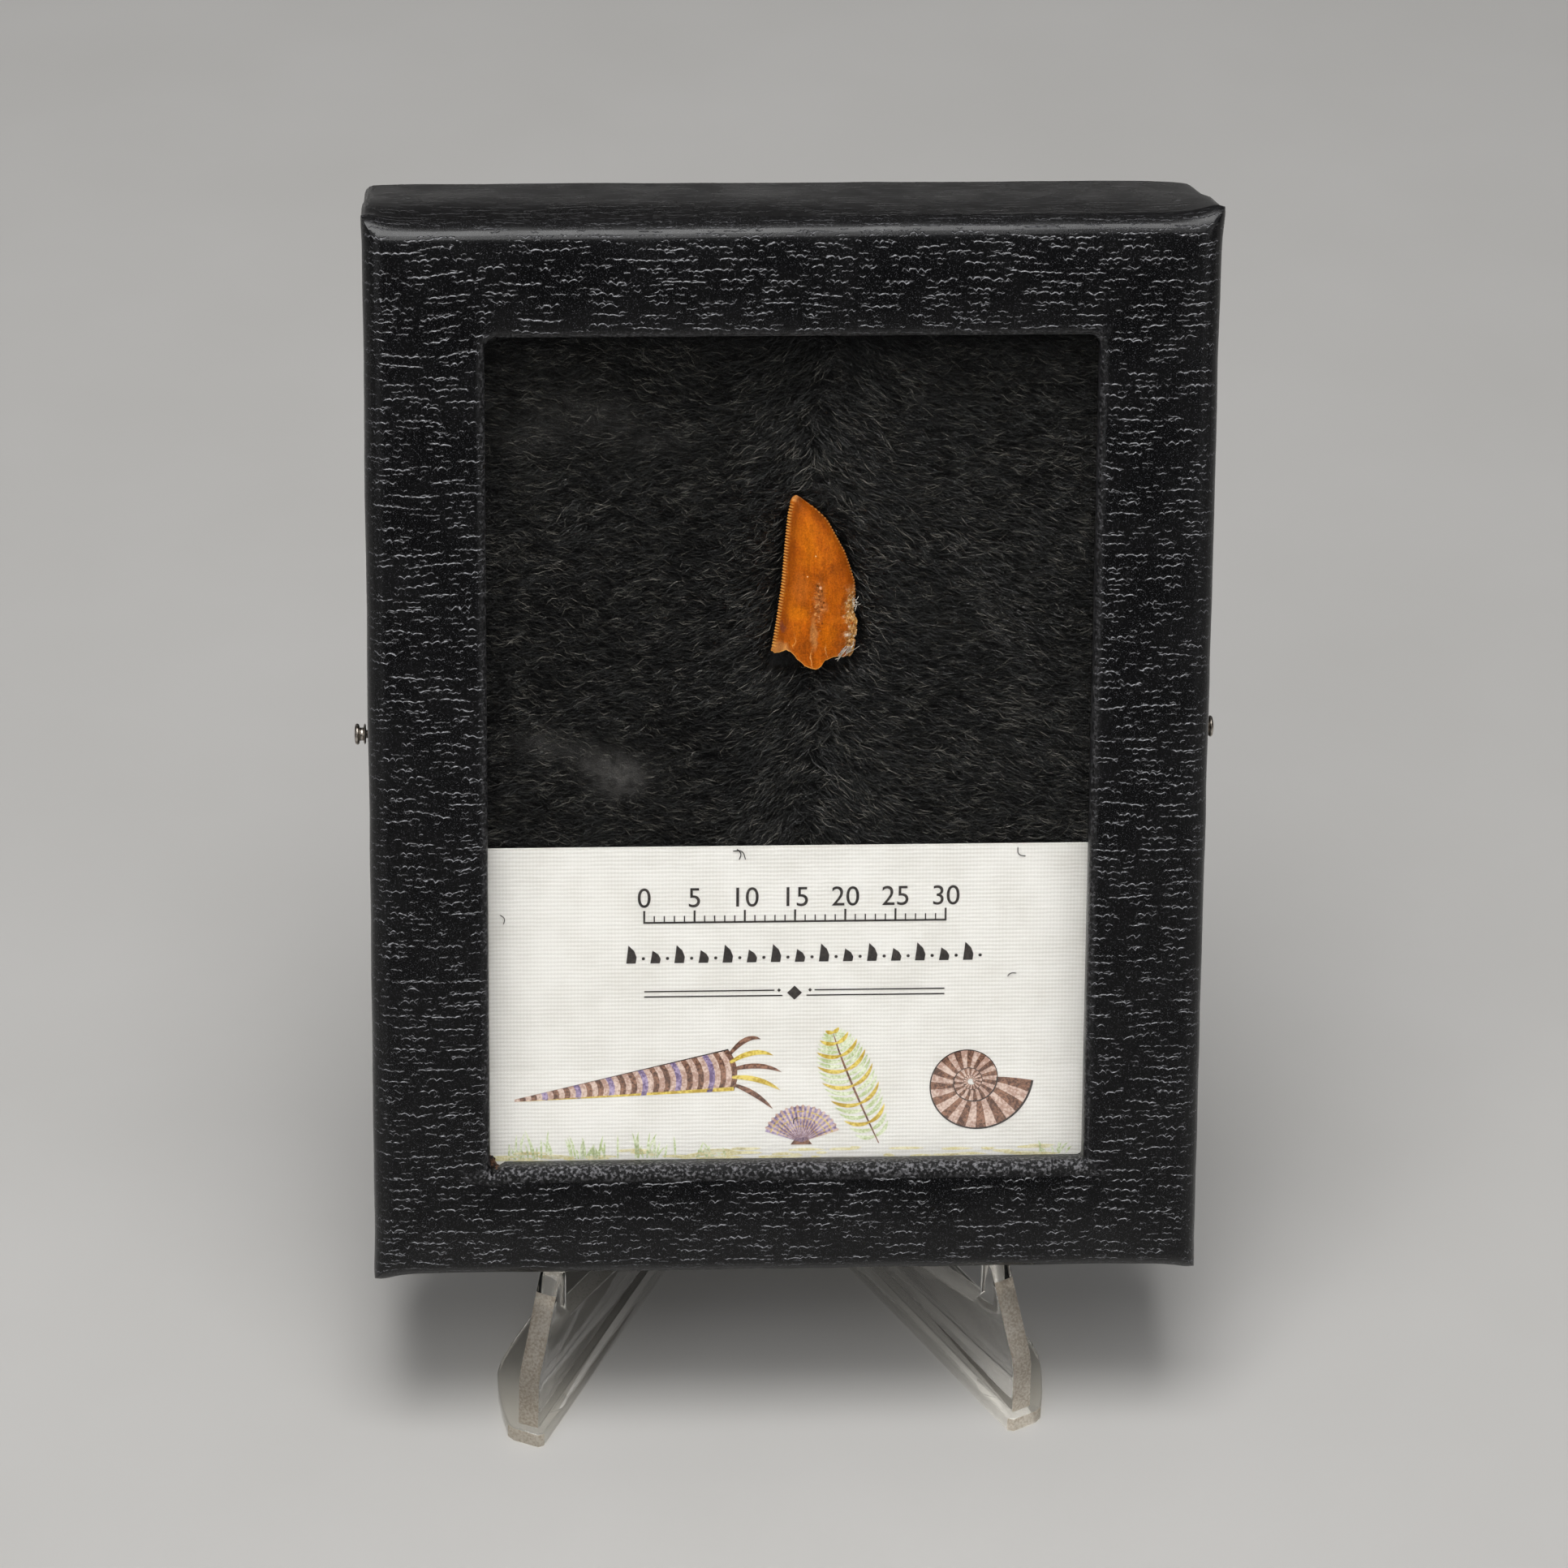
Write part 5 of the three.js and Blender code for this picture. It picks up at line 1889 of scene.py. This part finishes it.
def stroke(start: Sequence[float], bend: Sequence[float], end: Sequence[float], width: float) -> Outline:
    """The outline of a pen stroke that swells in its middle and ends in a point.

    Args:
        start: where it starts, as x and z in millimetres.
        bend: the point that pulls it sideways.
        end: where it ends.
        width: its greatest width.

    Returns:
        The stroke's outline.
    """
    share = np.linspace(0, 1, 9)[:, None]
    line = bow(np.array(start), np.array(bend), np.array(end), share)
    along = np.gradient(line, axis=0)
    along /= np.linalg.norm(along, axis=1, keepdims=True) + 1e-9
    half = width / 2 * np.sin(math.pi * (0.12 + 0.88 * share)) ** 0.7
    aside = np.stack([-along[:, 1], along[:, 0]], axis=1) * half
    return [tuple(p) for p in np.concatenate([line + aside, (line - aside)[::-1]])]


class Ink(Enum):
    """The card's printing inks: a name, the dark and the light colour of its dots, and its layer."""

    LINE = ("near-black line ink", "#211d1b", "#3a3431", 5)
    BROWN = ("umber ink", "#54382c", "#9a715c", 3)
    TAN = ("rosy tan ink", "#b08d7e", "#dcc6ba", 2)
    MAUVE = ("mauve ink", "#65527a", "#b09fc0", 4)
    STRAW = ("straw yellow ink", "#b3942a", "#e6d06a", 4)
    GREEN = ("pale green ink", "#b3c18c", "#e3e8cf", 1)
    GROUND = ("pale straw ink", "#d9cf9b", "#ece6c6", 1)

    def material(self, place: BoxFrame) -> Material:
        """The ink as a finish."""
        name, dark, light, _ = self.value
        return PrintInk(name, dark, light).material(place)


@dataclass
class LabelCard:
    """The card and its print: a scale, a row of teeth, a rule, and a frieze of shells, a fern and grass."""

    place: BoxFrame
    face: float = 5.0  # depth of the card's front
    proud: float = 0.012
    layer: float = 0.006
    earth: float = 11.1  # height of the ground line at the foot of the frieze
    scale_from: float = -14.2
    scale_length: int = 30
    # Each tuft of grass: its middle, how many blades it has and how tall it is.
    tufts: Rows = (
        (-25.5, 16, 3.4), (-20.0, 22, 2.6), (-13.5, 14, 3.0), (-7.5, 10, 1.7), (27.0, 9, 1.5),
    )
    seed: int = 5
    outlines: dict[Ink, list[Outline]] = field(default_factory=lambda: {ink: [] for ink in Ink})
    digits: list[Object] = field(default_factory=list)

    def draw(self, ink: Ink, outline: Outline) -> None:
        """Notes one closed outline in one ink."""
        self.outlines[ink].append(outline)

    def number(self, text: str, x: float, z: float, size: float) -> None:
        """Sets one plain number.

        Args:
            text: its digits.
            x: its middle.
            z: the line that it stands on.
            size: the height of its line of type.
        """
        bpy.ops.object.select_all(action="DESELECT")
        bpy.ops.object.text_add()
        label = bpy.context.object
        label.data.body = text
        label.data.align_x = "CENTER"
        label.data.size = size * MM
        bpy.ops.object.convert(target="MESH")
        label = bpy.context.object
        depth = (self.face - self.proud - Ink.LINE.value[3] * self.layer) * MM
        upright = Matrix.Rotation(math.pi / 2, 4, "X")
        label.data.transform(Matrix.Translation((x * MM, depth, z * MM)) @ upright)
        self.digits.append(label)

    def scale_bar(self) -> None:
        """Draws the numbered millimetre scale."""
        left, base = self.scale_from, 36.0
        self.draw(Ink.LINE, bar(left - 0.1, left + self.scale_length + 0.1, base - 0.1, base + 0.1))
        for step in range(self.scale_length + 1):
            tall = 1.25 if step % 5 == 0 else 0.7
            thick = 0.2 if step % 5 == 0 else 0.13
            self.draw(Ink.LINE, bar(left + step - thick / 2, left + step + thick / 2, base, base + tall))
        for step in range(0, self.scale_length + 1, 5):
            self.number(str(step), left + step, base + 1.6, 2.9)

    def tooth_row(self) -> None:
        """Draws a row of little blade teeth with dots between them."""
        for index in range(15):
            x, z = -16.0 + index * 2.4, 31.75
            tall = 1.9 if index % 2 == 0 else 1.35
            blade = [(x, z), (x + 0.95, z), (x + 1.05, z + tall * 0.35), (x + 0.8, z + tall * 0.7),
                     (x + 0.22, z + tall), (x + 0.12, z + tall * 0.5)]
            self.draw(Ink.LINE, blade)
            self.draw(Ink.LINE, arc(x + 1.72, z + 0.5, 0.17, np.arange(0, math.tau, math.tau / 10)))

    def rule(self) -> None:
        """Draws a thin double rule with a lozenge in its middle."""
        middle, z = self.scale_from + self.scale_length / 2, 28.5
        for side in (-1, 1):
            for height, start in ((0.28, 2.0), (-0.28, 1.2)):
                near, far = sorted((middle + side * start, middle + side * 15))
                self.draw(Ink.LINE, bar(near, far, z + height - 0.07, z + height + 0.07))
            x = middle + side * 1.55
            self.draw(Ink.LINE, [(x - 0.2, z + 0.28), (x, z + 0.08), (x + 0.2, z + 0.28), (x, z + 0.48)])
        self.draw(Ink.LINE, [(middle - 0.75, z), (middle, z - 0.75), (middle + 0.75, z), (middle, z + 0.75)])

    def ammonite(self, x: float, z: float, radius: float) -> None:
        """Draws a coiled ribbed shell.

        Args:
            x: its middle.
            z: its middle's height.
            radius: its outer radius.
        """
        shrink, per_turn, turns = 0.135, 30, 3.1
        step = math.tau / per_turn
        # A rib's outline, as shares of a step along and of a coil inwards.
        rib = ((0, 0), (0.25, 0), (0.5, 0), (0.75, 0), (1, 0), (1, 0.33), (1, 0.66), (1, 1), (0.5, 1), (0, 1),
               (0, 0.66), (0, 0.33))

        def at(angle: float, coil: float) -> tuple[float, float]:
            """A point on the coil, or on the next coil inwards for a coil of 1."""
            reach = radius * math.exp(-shrink * (angle + math.tau * coil))
            return x + reach * math.cos(angle - 0.16 * coil), z - reach * math.sin(angle - 0.16 * coil)

        for index in range(int(per_turn * turns)):
            start = index * step
            outline = [at(start + along * step, coil) for along, coil in rib]
            self.draw((Ink.BROWN, Ink.TAN)[index % 2], outline)
            thin = 1 - 0.035 * math.exp(-shrink * start * 0.2)
            for coil in (0, 1):
                edge = [at(start + along * step, coil) for along in (0, 0.5, 1)]
                self.draw(Ink.LINE, band(edge, x, z, thin))

    def straight_shell(self, tip: Sequence[float], mouth: Sequence[float], half_width: float) -> None:
        """Draws a long straight banded shell with its arms at the mouth.

        Args:
            tip: x and z of its point.
            mouth: x and z of the middle of its open end.
            half_width: half its width there.
        """
        tip, mouth = np.array(tip), np.array(mouth)
        along = (mouth - tip) / np.linalg.norm(mouth - tip)
        aside = np.array([-along[1], along[0]])
        bands = 40
        for index in range(bands):
            ring = []
            for share, order in ((index / bands, 1), ((index + 1) / bands, -1)):
                half = 0.12 + (half_width - 0.12) * share
                middle = tip + (mouth - tip) * share
                for across in (-1, -0.5, 0, 0.5, 1)[::order]:
                    bulge = 0.28 * half * (1 - across * across)
                    ring.append(tuple(middle + aside * half * across + along * bulge))
            self.draw((Ink.TAN, Ink.BROWN, Ink.TAN, Ink.BROWN, Ink.TAN, Ink.MAUVE)[index % 6], ring)
        for side, ink in ((-1, Ink.STRAW), (1, Ink.LINE)):
            low = tip + aside * side * 0.12
            high = mouth + aside * side * half_width
            wide = 0.42 if ink is Ink.STRAW else 0.13
            self.draw(ink, [tuple(low), tuple(high), tuple(high - aside * side * wide), tuple(low)])
        for index, reach in enumerate((3.6, 4.6, 5.0, 4.4, 3.4)):
            across = (index - 2) / 2
            root = mouth + aside * half_width * 0.7 * across
            bend = root + along * reach * 0.6 + aside * (across * 1.6 + 0.5)
            end = root + along * reach + aside * (across * 2.2 - 1.0)
            self.draw((Ink.BROWN, Ink.STRAW)[index % 2], stroke(root, bend, end, 0.55))

    def scallop(self, x: float, z: float, radius: float) -> None:
        """Draws a ribbed fan shell that stands on its hinge at x and z.

        Args:
            x: its middle.
            z: its hinge's height.
            radius: its height.
        """
        ribs = 17
        angles = np.linspace(math.radians(18), math.radians(162), 2 * ribs + 1)
        for index, (first, last) in enumerate(zip(angles, angles[1:])):
            crest = radius * (0.97 if index % 2 else 1.03)
            start, end = arc(x, z, radius, (first, last))
            fan = [(x, z), start, *arc(x, z, crest, [(first + last) / 2]), end]
            self.draw(Ink.MAUVE if index % 2 else Ink.TAN, fan)
        for share in (0.45, 0.68, 0.86):
            self.draw(Ink.STRAW, band(arc(x, z, radius * share, angles[::2]), x, z, 0.965))
        foot = [(x - 1.1, z - 0.25), (x + 1.1, z - 0.25), (x + 0.55, z + 0.5), (x - 0.55, z + 0.5)]
        self.draw(Ink.BROWN, foot)

    def fern(self, start: Sequence[float], end: Sequence[float]) -> None:
        """Draws an arching frond from its foot to its tip.

        Args:
            start: x and z of its foot.
            end: x and z of its tip.
        """
        start, end = np.array(start, float), np.array(end, float)
        bend = (start + end) / 2 + np.array([-1.5, 2.4])
        self.draw(Ink.BROWN, stroke(start, bend, end, 0.22))
        for index in range(1, 22):
            share = index / 22
            at = bow(start, bend, end, share)
            along = 2 * (1 - share) * (bend - start) + 2 * share * (end - bend)
            along /= np.linalg.norm(along)
            reach = 2.5 * math.sin(math.pi * (0.18 + 0.8 * share)) + 0.25
            for side in (-1, 1):
                aside = np.array([-along[1], along[0]]) * side
                leaf = stroke(at, at + aside * reach * 0.6, at + aside * reach + along * reach * 0.55, 0.42)
                self.draw(Ink.GREEN if index % 3 else Ink.STRAW, leaf)

    def grass(self, draw: np.random.Generator) -> None:
        """Draws tufts of grass at the left and dry ground along the foot of the card.

        Args:
            draw: gives the random numbers.
        """
        for middle, count, tall in self.tufts:
            for x in middle + draw.normal(0, 1.3, count):
                lean, reach = draw.normal(0, 0.5), tall * draw.uniform(0.35, 1.0)
                foot, tip = (x, self.earth), (x + lean, self.earth + reach)
                self.draw(Ink.GREEN, stroke(foot, (x + lean * 0.3, self.earth + reach * 0.6), tip, 0.22))
        for x in draw.uniform(-29.5, 29, 64):
            long = draw.uniform(1.0, 4.0)
            low = self.earth + draw.uniform(-0.3, 0.9)
            bend = (x, low + draw.normal(0, 0.12))
            self.draw(Ink.GROUND, stroke((x - long / 2, low), bend, (x + long / 2, low), 0.3))

    def ink_mesh(self, ink: Ink) -> Object:
        """Makes one ink's outlines into a flat mesh that faces out of the box.

        Args:
            ink: whose outlines they are.

        Returns:
            The mesh's object.
        """
        depth = self.face - self.proud - ink.value[3] * self.layer
        points, faces = [], []
        for outline in self.outlines[ink]:
            area = sum(a[0] * b[1] - b[0] * a[1] for a, b in zip(outline, [*outline[1:], outline[0]]))
            faces.append(range(len(points), len(points) + len(outline)))
            points += [Vector((x, depth, z)) * MM for x, z in outline[:: 1 if area > 0 else -1]]
        return add_mesh(ink.value[0], points, faces)

    def build(self, paper: Material) -> None:
        """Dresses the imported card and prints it.

        Args:
            paper: the card's material.
        """
        dress(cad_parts["label_card"], [paper])
        log.info("label_card: packed solid")
        self.scale_bar()
        self.tooth_row()
        self.rule()
        self.straight_shell((-27.2, 17.4), (-5.5, 20.4), 2.25)
        self.fern((9.4, 12.4), (4.6, 24.6))
        self.scallop(1.6, 12.6, 3.9)
        self.ammonite(18.6, 18.9, 6.3)
        self.grass(np.random.default_rng(self.seed))
        prints = []
        for ink in Ink:
            flat = self.ink_mesh(ink)
            finish = [ink.material(self.place)]
            for piece in [flat, *(self.digits if ink is Ink.LINE else ())]:
                dress(piece, finish)
            prints.append(flat)
        finish_piece(join("card_print", prints + self.digits), [], self.place.to_model)


@dataclass(frozen=True)
class LintFibre(Finish):
    """A loose textile fibre: matt, with a tone that wanders along it."""

    name: str
    dark: str
    light: str

    def surface(self, add: AddNode, place: BoxFrame) -> Node:
        """Its two tones along it.

        Args:
            add: adds a node to the material.
            place: the frame that its patterns lie in.

        Returns:
            The shader.
        """
        wander = add("TexNoise", place.coordinates(add), Scale=3.0)
        tone = add("ValToRGB", wander, stops=[(0.35, self.dark), (0.65, self.light)])
        return add("BsdfPrincipled", tone, Roughness=0.7)


@dataclass
class Lint:
    """Loose fibres: pale ones caught on the broken edge of the tooth, dark ones shed over the card."""

    place: BoxFrame
    tooth: Tooth
    thickness: float = 0.09
    snag_thickness: float = 0.05
    card: float = 4.9  # depth at which fibres lie on the card
    # Each shed fibre: x, z, length, direction in degrees from the x axis, and how far it bows.
    shed: Rows = (
        (-5.4, 43.4, 1.5, -35, 0.5), (-5.0, 43.6, 1.1, -80, 0.3), (22.9, 43.5, 1.2, -50, -0.4),
        (22.1, 30.0, 0.9, 20, 0.2), (0.8, 14.6, 0.8, 60, 0.2), (-28.5, 37.0, 1.0, -70, 0.3),
    )
    snagged: Rows = (
        (3.75, 7.5, 0.85, -55, 0.15), (3.8, 7.0, 0.8, -10, -0.22), (3.85, 6.8, 0.7, -75, 0.2),
        (3.7, 7.3, 0.75, 25, -0.25), (3.8, 6.5, 0.8, 40, 0.3), (3.9, 6.9, 0.6, 75, 0.18),
        (4.1, 6.85, 0.5, -100, 0.15),
    )
    bundle: int = 12  # fibres that lie over the lower front corner of the root
    seed: int = 3

    def fibre(
        self, thickness: float, start: Sequence[float], length: float, way: float, bow: float
    ) -> Object:
        """Makes one bowed fibre.

        Args:
            thickness: its diameter.
            start: where it starts, in the box's frame.
            length: from end to end.
            way: its direction in degrees from the x axis.
            bow: how far its middle stands aside.

        Returns:
            The fibre.
        """
        along = Vector((math.cos(math.radians(way)), 0, math.sin(math.radians(way))))
        across = Vector((-along.z, 0, along.x))
        places = [Vector(start) + along * length * share + across * bow * math.sin(math.pi * share)
                  for share in (0, 0.25, 0.5, 0.75, 1)]
        return thread("lint", places, thickness)

    def lay(self, name: str, fibres: Sequence[Object], finish: LintFibre) -> None:
        """Makes one piece of some fibres."""
        finish_piece(join(name, fibres), [finish.material(self.place)], self.place.to_model)

    def build(self) -> None:
        """Lays both kinds of lint."""
        shed = [self.fibre(self.thickness, (x, self.card, z), *rest) for x, z, *rest in self.shed]
        self.lay("shed_lint", shed, LintFibre("black lint", "#050505", "#161413"))
        draw = np.random.default_rng(self.seed)
        at, thin = self.tooth, self.snag_thickness
        pale = [self.fibre(thin, (at.x + x, at.depth - 0.55, at.z + z), *rest)
                for x, z, *rest in self.snagged]
        for _ in range(self.bundle):
            share = draw.uniform(0, 1)
            x, z = 2.2 + 1.3 * share + draw.normal(0, 0.08), 1.3 + 0.75 * share + draw.normal(0, 0.12)
            start = (at.x + x, at.depth - 1.25 + 0.45 * share + draw.normal(0, 0.04), at.z + z)
            length, way = draw.uniform(0.8, 1.5), draw.normal(50, 9)
            pale.append(self.fibre(thin, start, length, way, draw.normal(0, 0.12)))
        self.lay("snagged_lint", pale, LintFibre("white lint", "#8f887c", "#dcd6cb"))


# ---- the studio


@dataclass(frozen=True)
class FloorPaint(Finish):
    """Matt paint on a studio floor: a faintly cloudy pale grey that takes soft shadows."""

    name: str = "matt pale floor"

    def surface(self, add: AddNode) -> Node:
        """Soft clouds of two greys.

        Args:
            add: adds a node to the material.

        Returns:
            The shader.
        """
        cloud = add("TexNoise", add("TexCoord").outputs["Object"], Scale=30.0, Detail=3.0)
        tone = add("ValToRGB", cloud, stops=[(0.0, "#c2c0bc"), (1.0, "#cac8c5")])
        return add("BsdfPrincipled", tone, Roughness=0.6)


@dataclass(frozen=True)
class Lamp:
    """A square soft lamp: its place, what it faces, its side and its power."""

    name: str
    at: tuple[float, float, float]
    side: float
    watts: float
    colour: str = "#ffffff"
    towards: tuple[float, float, float] = (0.0, 0.0, 0.06)

    def build(self) -> None:
        """Hangs the lamp."""
        data = bpy.data.lights.new(self.name, "AREA")
        data.shape = "SQUARE"
        data.size = self.side
        data.energy = self.watts
        data.color = linear(self.colour)[:3]
        lamp = add_object(self.name, data)
        lamp.location = self.at
        lamp.rotation_euler = (Vector(self.towards) - Vector(self.at)).to_track_quat("-Z", "Y").to_euler()


@dataclass
class Studio:
    """The pale floor, the soft lamps and the camera."""

    place: BoxFrame
    floor: float = 2.2
    floor_back: float = 0.3  # its middle lies behind the easel, so that the pane does not mirror its edge
    lamps: tuple[Lamp, ...] = (
        Lamp("overhead softbox", (-0.05, -0.16, 0.86), 0.44, 4.9),
        Lamp("front softbox", (-0.08, -0.5, 0.7), 0.3, 1.1),
        Lamp("left fill", (-0.75, -0.85, 0.5), 0.7, 2.0),
        Lamp("right fill", (0.75, -0.85, 0.5), 0.7, 1.7),
    )
    # The camera, from the middle of the lid's face, in the box's frame.
    distance: float = 613.7
    yaw: float = math.radians(-3.35)
    pitch: float = math.radians(16.94)
    roll: float = math.radians(0.42)
    pan: tuple[float, float] = (math.radians(-0.06), math.radians(-0.21))
    lens: float = 143.92

    def light(self) -> None:
        """Lays the floor and hangs the lamps under a pale sky that brightens upwards."""
        floor = add_alone(bpy.ops.mesh.primitive_plane_add, size=self.floor, location=(0, self.floor_back, 0))
        floor.name = "pale_floor"
        dress(floor, [FloorPaint().material()])
        world = bpy.data.worlds.new("studio")
        world.use_nodes = True
        world.node_tree.nodes.clear()
        add = partial(add_node, world.node_tree)
        at = add("SeparateXYZ", add("TexCoord").outputs["Generated"])
        dome = add("MapRange", at.outputs["Z"], 0.1, 0.9, 0.02, 0.34)
        add("OutputWorld", add("Background", "#dcdde0", dome))
        bpy.context.scene.world = world
        for lamp in self.lamps:
            lamp.build()

    @staticmethod
    def turned(first: Vector, second: Vector, angle: float) -> tuple[Vector, Vector]:
        """Turns two square axes in their own plane, the first towards the second."""
        cos, sin = math.cos(angle), math.sin(angle)
        return first * cos + second * sin, second * cos - first * sin

    def camera(self) -> None:
        """Sets up the camera."""
        aside, level, flat = math.sin(self.yaw), math.cos(self.yaw), math.cos(self.pitch)
        back = Vector((aside * flat, -level * flat, math.sin(self.pitch)))
        ahead, right = -back, Vector((level, aside, 0))
        up = right.cross(ahead)
        across, rise = self.pan
        ahead, right = self.turned(ahead, right, across)
        ahead, up = self.turned(ahead, up, rise)
        right, up = self.turned(right, up, self.roll)
        middle = Vector((0, 0, self.place.height / 2)) * MM
        turned = Matrix((right, up, -ahead)).transposed().to_4x4()
        stand = Matrix.Translation(middle + back * self.distance * MM) @ turned
        data = bpy.data.cameras.new("camera")
        data.lens = self.lens
        data.sensor_width = 36.0
        camera = add_object("camera", data)
        camera.matrix_world = self.place.to_model @ stand
        bpy.context.scene.camera = camera

    def build(self) -> None:
        """Sets up the studio."""
        self.camera()
        self.light()
        bpy.context.scene.view_settings.view_transform = "Standard"


# ---- assembly


def main() -> None:
    """Builds the studio and every piece."""
    place = BoxFrame()
    tooth = Tooth(place)
    Studio(place).build()
    Lid(place).build(Leatherette().material(place), TornPaper().material(place))
    Tray(place).build(CoverPaper().material(place))
    Window(place).build(WindowGlass().material(), GlassHaze().material(place))
    steel = PinSteel().material()
    Pin("pin_left_turned", -1, place).build(steel)
    Pin("pin_right_turned", 1, place).build(steel)
    tooth.build()
    PlushBed(place, tooth).build()
    LabelCard(place).build(LaidCard().material(place))
    Lint(place, tooth).build()
    Easel().build(EaselAcrylic(Polish.CLEAR).material(), EaselAcrylic(Polish.GROUND).material())


if __name__ == "__main__":
    logging.basicConfig(level=logging.INFO, format="%(message)s")
    main()
